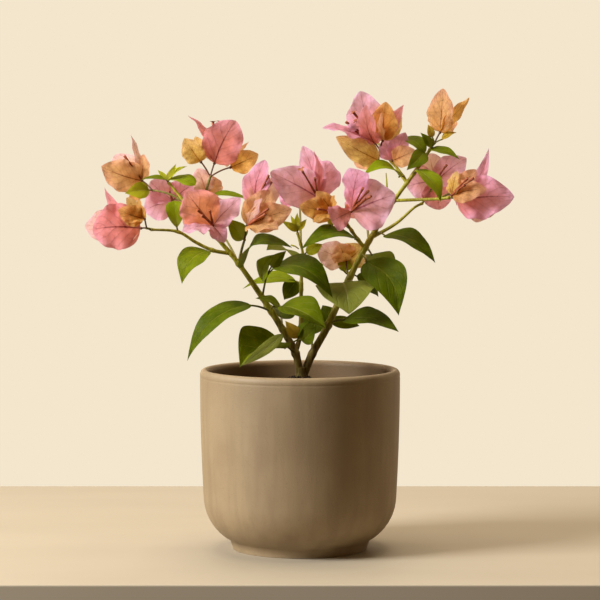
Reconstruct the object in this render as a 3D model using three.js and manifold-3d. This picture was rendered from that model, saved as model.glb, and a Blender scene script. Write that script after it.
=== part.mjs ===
// Bougainvillea bush in a round ceramic pot.
// Millimetres, +Z up, +Y to the back; the origin is the centre of the pot's flat underside.
//
// The pot is turned from one profile and filled with soil. Three stems rise from one foot at the
// soil, side boughs leave them, and short sprays grow from stems and boughs. A spray is a thin
// stem with a pedicel to each bloom and a petiole to each leaf; a bloom is a ring of paper-thin
// bracts round one throat. Every spray is joined into one solid and stands 0.3 mm clear of the
// limb that carries it.

import * as THREE from 'three';
import { mergeVertices } from 'three/addons/utils/BufferGeometryUtils.js';
import Module from 'manifold-3d';

const wasm = await Module();
wasm.setup();

// ---------------------------------------------------------------- driving sizes

const GAP = 0.3; // between pieces that touch
const ROUNDING = 0.15; // the finest detail kept where pieces are joined

const POT = {
  height: 135.3,
  rimRadius: 75, // outside, at the lip
  wall: 6.5,
  lipHeight: 4.2,
  footRadius: 50.6, // where it stands
  footTop: 52.6, // where the foot ring meets the body
  footBevel: 0.6,
  cornerRadius: 37.6, // of the round lower corner, outside
  cornerMiddle: 34.8, // from the axis to the middle of that round
  cornerHeight: 40,
  cornerTilt: 0.053, // radians from level, where the corner ends and the wall begins
  floor: 9, // thickness of the bottom
  sides: 36,
};

const SOIL = {
  crown: 126.5, // the mound round the foot of the stems
  crownRadius: 9,
  edge: 117.5, // at the wall
  sides: 36, // as the pot has, so that their flats lie side by side
};

const FOOT = {
  flareRadius: 6.6,
  waistRadius: 4.1,
  height: 8,
  middle: 1, // to the right of the pot's axis
  sides: 10,
};

const LIMB = {
  sides: 7,
  step: 9, // length of one straight piece
};

const BLADE = {
  thickness: 1, // at the midrib, down to nothing at the edges
  bractRoot: 0.8, // from the middle of the throat out to where a bract begins, inside it
  leafRoot: -1.5, // a leaf begins this far back in its petiole
  leafBow: 0.12, // rise of the midrib over its chord, as a share of the length
  leafFold: 14, // degrees that each half is raised
  bractBow: 0.08,
  bractFold: 9,
  leafBelly: 0.72, // under 1, the widest place lies nearer the base
  leafFullness: 0.9, // the lower, the rounder the outline
  leafPoint: 0.2, // how much narrower the upper part is drawn
  bractBelly: 0.85,
  bractFullness: 0.75,
  longBlade: 26, // from this length on, a blade has one more row
};

const TWIG = {
  petiole: 0.55,
  pedicel: 0.6,
  knot: 2, // radius of the throat where bracts meet
  node: 1.3, // radius of the swelling at a hub
  rise: 0.12, // how far a twig bows upwards, as a share of its length
  foot: 1.2, // a spray's stem is this much thicker where it leaves the limb
  longTwig: 12, // from this length on, a twig has one more step
  sides: 3,
};

const SAMPLES = 200; // places looked at along a curve
const POLE = 1e-3; // nearer the axis than this, a place of a sphere is its pole

// Which way a blade's upper side looks.
const FACES = {
  front: [0, -1, 0.15],
  back: [0, 1, 0.2],
  up: [0, -0.45, 0.9],
  left: [-0.7, -0.7, 0.1],
  right: [0.7, -0.7, 0.1],
  upLeft: [-0.5, -0.6, 0.6],
  upRight: [0.5, -0.6, 0.6],
  upBack: [0.1, 0.6, 0.8],
};

// ---------------------------------------------------------------- the plant

// Each limb follows a smooth curve through its places and tapers evenly from foot to tip. A bough
// starts on its stem, at a height.
const LIMBS = {
  stem_left: {
    route: [[0, 0, 131], [-3, -1, 146], [-13, -3, 165], [-28, -6, 189], [-46, -8, 215], [-65, -12, 238],
      [-86, -8, 261], [-98, -5, 275]],
    foot: 3.2,
    tip: 0.9,
  },
  stem_right: {
    route: [[3, 1, 131], [9, 1, 146], [19, 0, 164], [37, 3, 203], [49, 5, 226], [67, 8, 256], [88, 11, 285],
      [98, 12, 300]],
    foot: 3.3,
    tip: 1.1,
  },
  stem_middle: {
    from: 'stem_left',
    height: 147,
    route: [[0, 4, 160], [1, 10, 201], [2, 14, 221], [-2, 12, 237]],
    foot: 2,
    tip: 0.8,
  },
  bough_left: {
    from: 'stem_left',
    height: 222,
    route: [[-65, -14, 225], [-77, -18, 231], [-90, -23, 239], [-110, -28, 241]],
    foot: 1.5,
    tip: 0.9,
  },
  bough_right_low: {
    from: 'stem_right',
    height: 233,
    route: [[72, 7, 244], [86, 9, 256], [92, 12, 259]],
    foot: 1.4,
    tip: 0.9,
  },
  bough_right_high: {
    from: 'stem_right',
    height: 261,
    route: [[90, 4, 262], [104, -8, 263], [111, -12, 264]],
    foot: 1.3,
    tip: 1,
  },
  bough_top: {
    from: 'stem_right',
    height: 274,
    route: [[73, 13, 285], [68, 15, 291], [64, 17, 295]],
    foot: 1.4,
    tip: 0.9,
  },
  bough_inner: {
    from: 'stem_right',
    height: 225,
    route: [[42, 0, 234], [34, -8, 246]],
    foot: 1.5,
    tip: 1,
  },
};

// Each spray leaves its limb at a height and runs to its hub, from which the pedicels go on to the
// blooms. A bloom is its throat and its bracts: tint, tip, width, face and bow. A leaf has a tint,
// a base, a tip, a width, a face, a bow and a fold; its petiole comes from the spray's own stem.
const SPRAYS = [
  { name: 'spray_left_far', limb: 'bough_left', height: 241, hub: [-113, -29, 242], radius: 0.8,
    blooms: [
      [[-117, -30, 242], ['rose', [-150, -24, 242], 34, 'front', 0.1], ['pink', [-159, -10, 242], 30],
        ['pink', [-145, -16, 271], 22, 'left']],
      [[-117, -25, 249], ['amber', [-128, -22, 267], 15], ['amber', [-133, -28, 258], 15],
        ['gold', [-111, -22, 257], 6, 'right']],
    ] },
  { name: 'leaf_left_upper', limb: 'bough_left', height: 239, hub: [-91, -25, 243], radius: 0.6,
    leaves: [['young', [-91, -25, 243], [-94, -26, 259], 13, 'front']] },
  { name: 'spray_left_bloom', limb: 'stem_left', height: 261, hub: [-110, -1, 269], radius: 0.7,
    blooms: [
      [[-118, 3, 276], ['amber', [-148, -5, 287], 25], ['apricot', [-124, 12, 309], 17, 'right'],
        ['apricot', [-141, 20, 295], 24]],
      [[-115, -3, 269], ['gold', [-129, -8, 271], 14], ['amber', [-128, 0, 263], 9]],
    ] },
  { name: 'shoot_left', limb: 'stem_left', height: 275, hub: [-99, -5, 277], radius: 0.7,
    leaves: [
      ['young', [-99, -5, 277], [-92, -8, 289], 5, 'front'],
      ['young', [-98, -5, 277], [-85, -8, 287], 8, 'up'],
      ['young', [-97, -5, 277], [-77, -12, 274], 14, 'up'],
      ['young', [-99, -5, 277], [-106, 0, 284], 4, 'front'],
      ['mid', [-100, -5, 277], [-118, -10, 277], 7, 'up'],
    ] },
  { name: 'spray_left_back', limb: 'stem_left', height: 257, hub: [-92, 8, 262], radius: 0.7,
    blooms: [
      [[-96, 12, 261], ['pink', [-114, 16, 252], 27], ['pink', [-113, 22, 275], 20],
        ['rose', [-82, 26, 273], 20]],
    ] },
  { name: 'spray_left_front', limb: 'stem_left', height: 233, hub: [-62, -24, 239], radius: 0.9,
    blooms: [
      [[-64, -32, 244], ['salmon', [-82, -36, 270], 33], ['pink', [-46, -22, 261], 24],
        ['pink', [-80, -42, 237], 19, 'up'], ['rose', [-55, -34, 232], 13]],
    ] },
  { name: 'spray_left_top', limb: 'stem_left', height: 248, hub: [-67, 2, 279], radius: 0.9,
    blooms: [
      [[-64, 3, 289], ['rose', [-44, 0, 321], 33], ['rose', [-85, 10, 324], 16, 'right'],
        ['rose', [-59, 34, 313], 26, 'back']],
      [[-74, 4, 290], ['gold', [-85, 1, 308], 14], ['gold', [-78, 9, 309], 14]],
      [[-52, 3, 286], ['amber', [-31, 2, 296], 17], ['amber', [-38, 12, 305], 10, 'up']],
      [[-70, 8, 266], ['apricot', [-77, 15, 285], 17], ['apricot', [-63, 20, 278], 16]],
    ],
    leaves: [['mid', [-67, -2, 264], [-38, -14, 262], 9, 'up']] },
  { name: 'spray_inner_left', limb: 'stem_left', height: 214, hub: [-41, -20, 233], radius: 0.9,
    blooms: [
      [[-39, -32, 244], ['apricot', [-22, -26, 270], 24], ['amber', [-8, -30, 254], 25],
        ['amber', [-21, -46, 239], 19, 'up']],
      [[-37, -22, 257], ['pink', [-30, -14, 291], 21, 'left'], ['salmon', [-17, -8, 278], 22]],
    ],
    leaves: [
      ['bright', [-42, -20, 234], [-54, -25, 249], 13, 'front'],
      ['dark', [-42, -14, 220], [-6, -36, 228], 24, 'up', 0.22],
      ['gold', [-43, -14, 218], [-40, -18, 226], 4, 'front'],
    ] },
  { name: 'shoot_middle', limb: 'stem_middle', height: 237, hub: [-2, 12, 239], radius: 0.6,
    leaves: [
      ['young', [-2, 12, 239], [-14, 8, 246], 6, 'front'],
      ['young', [-2, 12, 239], [-7, 14, 250], 4, 'front'],
      ['mid', [-2, 12, 240], [-2, 11, 252], 5, 'front'],
      ['young', [-2, 12, 239], [5, 14, 247], 5, 'front'],
    ] },
  { name: 'spray_middle', limb: 'bough_inner', height: 239, hub: [24, -8, 250], radius: 0.8,
    blooms: [
      [[13, -5, 264], ['pink', [-21, -18, 282], 32], ['pink', [4, 4, 302], 20],
        ['rose', [10, 8, 300], 12, 'right'], ['rose', [23, 14, 291], 27]],
      [[23, -11, 251], ['amber', [-1, -22, 257], 22], ['amber', [16, -14, 266], 14]],
    ],
    leaves: [['young', [22, -8, 250], [20, -6, 243], 5, 'front']] },
  { name: 'spray_inner', limb: 'bough_inner', height: 246, hub: [36, -15, 250], radius: 0.8,
    blooms: [
      [[38, -21, 254], ['pink', [40, -16, 285], 20], ['pink', [69, -30, 269], 36],
        ['rose', [23, -28, 248], 19]],
    ] },
  { name: 'spray_top', limb: 'bough_top', height: 295, hub: [60, 17, 299], radius: 0.8,
    blooms: [
      [[56, 14, 304], ['pink', [45, 10, 343], 32], ['pink', [16, 0, 315], 15, 'up'],
        ['rose', [54, -2, 332], 18, 'left']],
      [[59, 13, 291], ['gold', [27, 4, 309], 19], ['apricot', [41, 22, 289], 12]],
      [[62, 9, 306], ['amber', [64, 5, 335], 22], ['apricot', [64, -3, 327], 7],
        ['rose', [78, 20, 333], 13], ['apricot', [77, 28, 326], 18]],
      [[69, 9, 291], ['amber', [86, 2, 300], 17], ['pink', [63, 17, 307], 14],
        ['amber', [79, 0, 286], 9]],
    ] },
  { name: 'leaf_top', limb: 'bough_top', height: 279, hub: [74, 2, 279], radius: 0.6,
    leaves: [['bright', [74, 2, 279], [47, -15, 281], 20, 'up', 0.25]] },
  { name: 'spray_right_tip', limb: 'stem_right', height: 300, hub: [101, 12, 304], radius: 0.8,
    blooms: [
      [[105, 12, 312], ['apricot', [106, 8, 345], 22], ['amber', [128, 12, 336], 16, 'right'],
        ['apricot', [113, 30, 334], 22, 'back']],
    ],
    leaves: [
      ['gold', [99, 12, 309], [96, 12, 318], 6, 'front'],
      ['gold', [107, 11, 307], [117, 10, 313], 7, 'up'],
      ['mid', [99, 11, 302], [90, 6, 312], 7, 'front'],
      ['mid', [100, 11, 302], [119, 0, 293], 11, 'up', 0.2],
    ] },
  { name: 'leaf_right_tip', limb: 'stem_right', height: 292, hub: [93, 6, 297], radius: 0.6,
    leaves: [
      ['dark', [93, 6, 297], [74, 18, 305], 15, 'up', 0.25],
      ['mid', [93, 6, 297], [79, -9, 284], 13, 'front'],
    ] },
  { name: 'spray_right', limb: 'bough_right_high', height: 264, hub: [113, -13, 264], radius: 0.8,
    blooms: [
      [[116, -15, 262], ['rose', [158, -24, 264], 35], ['pink', [141, 2, 301], 18],
        ['pink', [148, 0, 252], 28]],
      [[110, -22, 269], ['amber', [136, -34, 275], 19], ['amber', [132, -24, 285], 16],
        ['amber', [104, -26, 260], 10]],
    ] },
  { name: 'spray_right_low', limb: 'bough_right_low', height: 259, hub: [98, 15, 268], radius: 0.7,
    blooms: [
      [[102, 17, 275], ['pink', [125, 13, 293], 24], ['pink', [81, 26, 271], 26],
        ['rose', [105, 15, 254], 22], ['pink', [98, 28, 296], 24]],
    ] },
  { name: 'leaf_right_front', limb: 'stem_right', height: 281, hub: [88, -4, 284], radius: 0.7,
    leaves: [['bright', [88, -4, 284], [104, -18, 261], 21, 'right', 0.15]] },
  { name: 'spray_inner_back', limb: 'stem_right', height: 203, hub: [35, 12, 209], radius: 0.8,
    blooms: [
      [[35, 15, 215], ['gold', [13, 22, 223], 22], ['gold', [47, 14, 227], 22],
        ['amber', [29, 24, 231], 20]],
    ],
    leaves: [['young', [35, 14, 208], [32, 19, 221], 12, 'front']] },
  { name: 'leaf_low_left', limb: 'stem_left', height: 178, hub: [-37, -16, 184], radius: 0.7,
    leaves: [['dark', [-37, -16, 184], [-83, -30, 144], 28, 'upLeft', 0.18]] },
  { name: 'leaf_foot_left', limb: 'stem_left', height: 146, hub: [-18, -24, 157], radius: 0.7,
    leaves: [['bright', [-18, -24, 157], [-44, -32, 139], 36, 'upLeft', 0.1, 26]] },
  { name: 'leaf_left', limb: 'bough_left', height: 225, hub: [-68, -19, 223], radius: 0.6,
    leaves: [['mid', [-68, -19, 223], [-86, -28, 201], 28, 'upLeft', 0.2]] },
  { name: 'sprig_left', limb: 'stem_left', height: 189, hub: [-25, -12, 205], radius: 0.7,
    leaves: [
      ['mid', [-26, -11, 203], [-22, -16, 220], 16, 'upLeft'],
      ['mid', [-21, -13, 213], [-10, -20, 225], 10, 'front'],
      ['dark', [-21, -14, 215], [23, -36, 197], 30, 'upRight', 0.25],
    ] },
  { name: 'sprig_front', limb: 'stem_left', height: 179, hub: [-20, -13, 183], radius: 0.7,
    leaves: [
      ['bright', [-19, -13, 183], [14, -34, 169], 33, 'upRight', 0.12, 24],
      ['mid', [-15, -10, 182], [-33, -14, 189], 13, 'up'],
    ] },
  { name: 'sprig_foot', limb: 'stem_left', height: 153, hub: [-1, -6, 158], radius: 0.6,
    leaves: [
      ['gold', [-1, -6, 160], [-11, -8, 172], 10, 'front'],
      ['dark', [-1, -6, 160], [9, -10, 172], 9, 'up', 0.2],
      ['dark', [2, -7, 157], [12, -14, 168], 13, 'front'],
    ] },
  { name: 'sprig_right', limb: 'stem_right', height: 200, hub: [39, -6, 201], radius: 0.7,
    leaves: [['pale', [39, -7, 201], [37, -38, 179], 38, 'up', 0.12, 10]] },
  { name: 'leaf_right_back', limb: 'stem_right', height: 205, hub: [43, 10, 204], radius: 0.6,
    leaves: [['dark', [43, 10, 204], [59, 18, 188], 17, 'upRight']] },
  { name: 'leaf_right', limb: 'stem_right', height: 221, hub: [49, -4, 218], radius: 0.7,
    leaves: [['dark', [49, -4, 218], [72, -26, 177], 36, 'upRight', 0.15]] },
  { name: 'leaf_inner_top', limb: 'bough_inner', height: 232, hub: [41, -9, 233], radius: 0.6,
    leaves: [['dark', [41, -9, 233], [1, -37, 227], 24, 'up', 0.18]] },
  { name: 'leaf_right_high', limb: 'stem_right', height: 238, hub: [64, 0, 235], radius: 0.6,
    leaves: [['dark', [64, 0, 235], [100, -22, 216], 26, 'upRight', 0.25]] },
  { name: 'leaf_low_right', limb: 'stem_right', height: 168, hub: [33, -8, 173], radius: 0.7,
    leaves: [['dark', [33, -8, 173], [73, -26, 165], 26, 'up', 0.2]] },
  { name: 'leaf_low_back', limb: 'stem_right', height: 167, hub: [23, 8, 171], radius: 0.6,
    leaves: [
      ['mid', [23, 8, 171], [45, 18, 164], 11, 'front'],
      ['dark', [23, 8, 171], [17, 14, 182], 13, 'front'],
    ] },
  { name: 'sprig_middle', limb: 'stem_middle', height: 198, hub: [-3, 15, 200], radius: 0.6,
    leaves: [
      ['young', [-4, 15, 200], [-43, 20, 194], 17, 'up'],
      ['dark', [-3, 15, 200], [-12, 17, 186], 14, 'front'],
    ] },
  { name: 'sprig_middle_top', limb: 'stem_middle', height: 219, hub: [5, 13, 222], radius: 0.6,
    leaves: [['young', [5, 13, 222], [17, 16, 228], 9, 'front']] },
  { name: 'leaf_back_low', limb: 'stem_right', height: 146, hub: [9, 14, 160], radius: 0.7,
    leaves: [['dark', [9, 14, 160], [16, 50, 172], 26, 'upBack']] },
  { name: 'leaf_back_left', limb: 'stem_left', height: 165, hub: [-14, 14, 172], radius: 0.7,
    leaves: [['dark', [-14, 14, 172], [-28, 56, 176], 28, 'upBack']] },
  { name: 'leaf_back_middle', limb: 'stem_middle', height: 194, hub: [2, 24, 205], radius: 0.7,
    leaves: [['dark', [2, 24, 205], [14, 68, 204], 30, 'upBack']] },
  { name: 'leaf_back_high', limb: 'stem_middle', height: 215, hub: [-5, 26, 217], radius: 0.7,
    leaves: [['mid', [-5, 26, 217], [-26, 62, 221], 28, 'upBack']] },
  { name: 'leaf_back_right', limb: 'stem_right', height: 188, hub: [29, 14, 192], radius: 0.7,
    leaves: [['dark', [29, 14, 192], [26, 54, 184], 28, 'upBack']] },
  { name: 'leaf_back_far', limb: 'stem_right', height: 226, hub: [54, 16, 220], radius: 0.7,
    leaves: [['dark', [54, 16, 220], [70, 50, 196], 28, 'upBack']] },
  { name: 'spray_back_middle', limb: 'stem_middle', height: 228, hub: [0, 46, 254], radius: 0.8,
    blooms: [
      [[0, 54, 260], ['pink', [-15, 66, 277], 28, 'back'], ['rose', [15, 68, 277], 28, 'back'],
        ['pink', [2, 88, 253], 28, 'back']],
    ] },
  { name: 'spray_back_left', limb: 'stem_left', height: 214, hub: [-66, 38, 242], radius: 0.8,
    blooms: [
      [[-70, 44, 247], ['salmon', [-83, 58, 258], 26, 'back'], ['pink', [-59, 62, 260], 26, 'back'],
        ['pink', [-73, 76, 238], 28, 'back']],
    ] },
  { name: 'spray_back_far_left', limb: 'stem_left', height: 252, hub: [-100, 38, 254], radius: 0.8,
    blooms: [
      [[-104, 46, 258], ['rose', [-118, 58, 264], 24, 'back'], ['pink', [-95, 60, 272], 25, 'back'],
        ['salmon', [-106, 74, 246], 26, 'back']],
    ] },
  { name: 'spray_back_right', limb: 'stem_right', height: 230, hub: [50, 42, 248], radius: 0.8,
    blooms: [
      [[48, 50, 254], ['pink', [38, 62, 267], 26, 'back'], ['rose', [62, 68, 264], 26, 'back'],
        ['salmon', [48, 82, 242], 28, 'back']],
    ] },
  { name: 'spray_back_top', limb: 'bough_top', height: 290, hub: [56, 44, 306], radius: 0.8,
    blooms: [
      [[53, 50, 311], ['pink', [40, 58, 326], 26, 'back'], ['apricot', [60, 68, 327], 24, 'back'],
        ['amber', [51, 80, 298], 28, 'back']],
    ] },
  { name: 'spray_back_far', limb: 'bough_right_high', height: 263, hub: [122, 22, 266], radius: 0.8,
    blooms: [
      [[126, 28, 268], ['rose', [146, 40, 273], 26, 'back'], ['pink', [136, 52, 255], 26, 'back'],
        ['apricot', [118, 48, 278], 24, 'back']],
    ] },
];

const COLORS = {
  pot: 0x9b7f62,
  soil: 0x33251a,
  bark: 0x5a4228,
  greenwood: 0x6f6a2a,
  leaf: 0x4c6b1c,
  bract: 0xd9818f,
};

const material = (color, roughness) => new THREE.MeshStandardMaterial({ color, roughness, metalness: 0 });
const MATERIALS = {
  pot: material(COLORS.pot, 0.75),
  soil: material(COLORS.soil, 0.95),
  bark: material(COLORS.bark, 0.85),
  greenwood: material(COLORS.greenwood, 0.6),
  leaf: material(COLORS.leaf, 0.5),
  bract: material(COLORS.bract, 0.6),
};

// ---------------------------------------------------------------- helpers

const vector = ([x, y, z]) => new THREE.Vector3(x, y, z);

// A three.js geometry as a solid that can be joined and cut.
function solid(geometry) {
  const bare = new THREE.BufferGeometry();
  bare.setAttribute('position', geometry.attributes.position);
  bare.setIndex(geometry.index);
  const merged = mergeVertices(bare, 1e-4);
  return new wasm.Manifold(new wasm.Mesh({
    numProp: 3,
    vertProperties: new Float32Array(merged.attributes.position.array),
    triVerts: new Uint32Array(merged.index.array),
  }));
}

// The largest piece of a solid as a mesh; loose scraps are dropped.
function mesh(name, body, look) {
  const pieces = body.simplify(ROUNDING).decompose();
  const largest = pieces.reduce((best, piece) => (piece.volume() > best.volume() ? piece : best));
  const { vertProperties, triVerts } = largest.getMesh();
  const geometry = new THREE.BufferGeometry();
  geometry.setAttribute('position', new THREE.BufferAttribute(vertProperties, 3));
  geometry.setIndex(new THREE.BufferAttribute(triVerts, 1));
  geometry.computeVertexNormals();
  const made = new THREE.Mesh(geometry, look);
  made.name = name;
  return made;
}

// A cylinder bent along a curve, its radius given along the way.
function bent(curve, radiusAt, sides, steps) {
  const geometry = new THREE.CylinderGeometry(1, 1, 1, sides, steps);
  const frames = curve.computeFrenetFrames(steps, false);
  const places = geometry.attributes.position;
  for (let i = 0; i < places.count; i += 1) {
    const step = Math.round((places.getY(i) + 0.5) * steps);
    const radius = radiusAt(step / steps);
    const place = curve.getPointAt(step / steps)
      .addScaledVector(frames.binormals[step], places.getX(i) * radius)
      .addScaledVector(frames.normals[step], places.getZ(i) * radius);
    places.setXYZ(i, place.x, place.y, place.z);
  }
  return solid(geometry);
}

function ball(place, radius) {
  return solid(new THREE.OctahedronGeometry(radius, 0).translate(place.x, place.y, place.z));
}

// ---------------------------------------------------------------- pot and soil

// A point of the wall's round lower corner, set in by a distance, at an angle from level.
function cornerPoint(inset, angle) {
  const radius = POT.cornerRadius - inset;
  return new THREE.Vector2(
    POT.cornerMiddle + radius * Math.cos(angle),
    POT.cornerHeight + radius * Math.sin(angle),
  );
}

// The wall, set in by a distance, from an angle low on its corner up to a height. Above the corner
// it leans out less and less, until it stands upright at the lip.
function wallLine(inset, lowest, top) {
  const cornerSteps = 5;
  const wallSteps = 2;
  const points = [];
  for (let i = 0; i <= cornerSteps; i += 1) {
    points.push(cornerPoint(inset, THREE.MathUtils.lerp(lowest, -POT.cornerTilt, i / cornerSteps)));
  }
  const belly = cornerPoint(0, -POT.cornerTilt);
  const lip = POT.height - POT.lipHeight;
  for (let i = 1; i <= wallSteps; i += 1) {
    const height = THREE.MathUtils.lerp(belly.y, top, i / wallSteps);
    const below = (lip - height) / (lip - belly.y);
    const radius = POT.rimRadius - (POT.rimRadius - belly.x) * below * below;
    points.push(new THREE.Vector2(radius - inset, height));
  }
  return points;
}

// The inside of the wall, from the floor up to a height, set in by a distance.
function innerWall(inset, floor, top) {
  const depth = POT.wall + inset;
  return wallLine(depth, Math.asin((floor - POT.cornerHeight) / (POT.cornerRadius - depth)), top);
}

function turned(profile, sides) {
  return solid(new THREE.LatheGeometry(profile, sides).rotateX(Math.PI / 2));
}

function makePot() {
  const { height, rimRadius, lipHeight, footRadius, footTop, footBevel, wall, floor } = POT;
  const shoulder = height - lipHeight;
  const outside = [
    new THREE.Vector2(0, 0),
    new THREE.Vector2(footRadius - footBevel, 0),
    new THREE.Vector2(footRadius, footBevel),
    ...wallLine(0, -Math.acos((footTop - POT.cornerMiddle) / POT.cornerRadius), shoulder),
  ];
  const lip = [];
  const lipSteps = 4;
  const lipCentre = rimRadius - wall / 2;
  for (let i = 1; i < lipSteps; i += 1) {
    const angle = (Math.PI * i) / lipSteps;
    const radius = lipCentre + (wall / 2) * Math.cos(angle);
    lip.push(new THREE.Vector2(radius, shoulder + lipHeight * Math.sin(angle)));
  }
  const inside = innerWall(0, floor, shoulder).reverse();
  return turned([...outside, ...lip, ...inside, new THREE.Vector2(0, floor)], POT.sides);
}

function makeSoil() {
  const wallSide = innerWall(GAP, POT.floor + GAP, SOIL.edge);
  const edge = wallSide[wallSide.length - 1].x;
  const mound = [];
  const steps = 3;
  for (let i = 1; i <= steps; i += 1) {
    const share = i / steps;
    const rise = share * share * (SOIL.crown - SOIL.edge);
    mound.push(new THREE.Vector2(THREE.MathUtils.lerp(edge, SOIL.crownRadius, share), SOIL.edge + rise));
  }
  return turned([
    new THREE.Vector2(0, POT.floor + GAP),
    ...wallSide,
    ...mound,
    new THREE.Vector2(0, SOIL.crown),
  ], SOIL.sides);
}

// ---------------------------------------------------------------- limbs

// The foot flares where it meets the soil, with a flat cut on the ground.
function makeFoot(extra) {
  const base = SOIL.crown + GAP;
  const height = FOOT.height + extra;
  const steps = 4;
  const profile = [new THREE.Vector2(0, base)];
  for (let i = 0; i <= steps; i += 1) {
    const flare = (FOOT.flareRadius - FOOT.waistRadius) * (1 - i / steps) ** 3;
    profile.push(new THREE.Vector2(FOOT.waistRadius + flare + extra, base + height * (i / steps)));
  }
  profile.push(new THREE.Vector2(0, base + height));
  return turned(profile, FOOT.sides).translate([FOOT.middle, 0, 0]);
}

// The place on a limb at a height: every limb rises all the way.
function placeAtHeight(curve, height) {
  const places = curve.getSpacedPoints(SAMPLES);
  return places.find((place) => place.z >= height) ?? places[places.length - 1];
}

for (const limb of Object.values(LIMBS)) {
  const places = limb.route.map(vector);
  if (limb.from) places.unshift(placeAtHeight(LIMBS[limb.from].curve, limb.height));
  limb.curve = new THREE.CatmullRomCurve3(places, false, 'centripetal');
}

function makeLimb({ curve, foot, tip }, extra) {
  const fewest = 4;
  const steps = Math.max(fewest, Math.round(curve.getLength() / LIMB.step));
  const tube = bent(curve, (t) => THREE.MathUtils.lerp(foot, tip, t) + extra, LIMB.sides, steps);
  return extra > 0 ? tube.add(ball(curve.getPointAt(1), tip + extra)) : tube;
}

// Each limb is cut clear of those before it, and limbSpace is the space of them all. The space of
// each limb, and later of each spray, is taken: a blade that would touch it is left out.
const limbMeshes = [];
const taken = [];
let limbSpace = makeFoot(GAP);
for (const [name, limb] of Object.entries(LIMBS)) {
  const look = name.startsWith('stem') ? MATERIALS.bark : MATERIALS.greenwood;
  const space = makeLimb(limb, GAP);
  limbMeshes.push(mesh(name, makeLimb(limb, 0).subtract(limbSpace), look));
  limbSpace = limbSpace.add(space);
  taken.push(space);
}

// ---------------------------------------------------------------- twigs, leaves and bracts

// A twig bows upwards between its ends.
function twigCurve(from, to) {
  const middle = from.clone().lerp(to, 0.5);
  middle.z += from.distanceTo(to) * TWIG.rise;
  return new THREE.QuadraticBezierCurve3(from, middle, to);
}

function twig(curve, foot, tip) {
  const steps = curve.getLength() > TWIG.longTwig ? 3 : 2;
  return bent(curve, (t) => THREE.MathUtils.lerp(foot, tip, t), TWIG.sides, steps);
}

function nearestPlace(curve, target) {
  const places = curve.getSpacedPoints(SAMPLES);
  return places.reduce((best, place) => (
    place.distanceTo(target) < best.distanceTo(target) ? place : best));
}

// Half the width of a blade along its length, widest at 1: a leaf is heart-shaped and drawn to a
// point, a bract rounder.
function leafOutline(t) {
  const belly = Math.sin(Math.PI * t ** BLADE.leafBelly) ** BLADE.leafFullness;
  return belly * (1 - BLADE.leafPoint * t ** 3);
}

const bractOutline = (t) => Math.sin(Math.PI * t ** BLADE.bractBelly) ** BLADE.bractFullness;

// A blade is a sphere of few sides, pulled out from base to tip and pressed into a thin, bowed
// and folded lens whose rim is the blade's outline.
function blade({ base, tip, width, face, bow, fold, root, outline }, extra) {
  const chord = tip.clone().sub(base);
  const length = chord.length();
  const along = chord.clone().normalize();
  const up = vector(FACES[face]);
  up.addScaledVector(along, -up.dot(along)).normalize();
  const across = along.clone().cross(up);
  const angle = THREE.MathUtils.degToRad(fold);
  const geometry = new THREE.SphereGeometry(1, 4, length > BLADE.longBlade ? 4 : 3);
  const places = geometry.attributes.position;
  for (let i = 0; i < places.count; i += 1) {
    const share = 1 - Math.acos(THREE.MathUtils.clamp(places.getY(i), -1, 1)) / Math.PI;
    const ring = Math.hypot(places.getX(i), places.getZ(i));
    const isPole = ring < POLE;
    const side = isPole ? 0 : places.getX(i) / ring;
    const lift = isPole ? 0 : places.getZ(i) / ring;
    const half = isPole ? 0 : (width / 2 + extra) * outline(share);
    const thick = isPole ? 0 : BLADE.thickness / 2 + extra;
    const rise = bow * length * 4 * share * (1 - share)
      + Math.abs(side) * half * Math.sin(angle) + lift * thick;
    const place = base.clone()
      .addScaledVector(along, length * share + root * (1 - share))
      .addScaledVector(across, side * half * Math.cos(angle))
      .addScaledVector(up, rise);
    places.setXYZ(i, place.x, place.y, place.z);
  }
  return solid(geometry);
}

function bractBlade(throat, [, tip, width, face = 'front', bow = BLADE.bractBow]) {
  const { bractFold: fold, bractRoot: root } = BLADE;
  return { base: throat, tip: vector(tip), width, face, bow, fold, root, outline: bractOutline };
}

function leafBlade([, base, tip, width, face, bow = BLADE.leafBow, fold = BLADE.leafFold]) {
  const root = BLADE.leafRoot;
  return { base: vector(base), tip: vector(tip), width, face, bow, fold, root, outline: leafOutline };
}

// ---------------------------------------------------------------- sprays

// Its twigs and blades are joined one by one, and a blade that would touch a limb or an earlier
// spray is left out.
function makeSpray({ name, limb, height, hub, radius, blooms = [], leaves = [] }) {
  const centre = vector(hub);
  const stem = twigCurve(placeAtHeight(LIMBS[limb].curve, height), centre);
  let body = twig(stem, radius * TWIG.foot, radius).add(ball(centre, TWIG.node));
  const addBlade = (parts) => {
    const space = blade(parts, GAP);
    const isFree = taken.every((other) => space.intersect(other).isEmpty());
    if (isFree) body = body.add(blade(parts, 0));
  };
  for (const [place, ...bracts] of blooms) {
    const throat = vector(place);
    const pedicel = twig(twigCurve(centre, throat), TWIG.pedicel, TWIG.pedicel);
    body = body.add(pedicel).add(ball(throat, TWIG.knot));
    for (const bract of bracts) addBlade(bractBlade(throat, bract));
  }
  for (const leaf of leaves) {
    const parts = leafBlade(leaf);
    const root = nearestPlace(stem, parts.base);
    if (root.distanceTo(parts.base) > TWIG.node / 2) {
      body = body.add(twig(twigCurve(root, parts.base), TWIG.petiole, TWIG.petiole));
    }
    addBlade(parts);
  }
  const clear = body.subtract(limbSpace);
  taken.push(clear);
  return mesh(name, clear, blooms.length > 0 ? MATERIALS.bract : MATERIALS.leaf);
}

// ---------------------------------------------------------------- assembly

const bougainvillea = new THREE.Group();
bougainvillea.name = 'bougainvillea';

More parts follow.
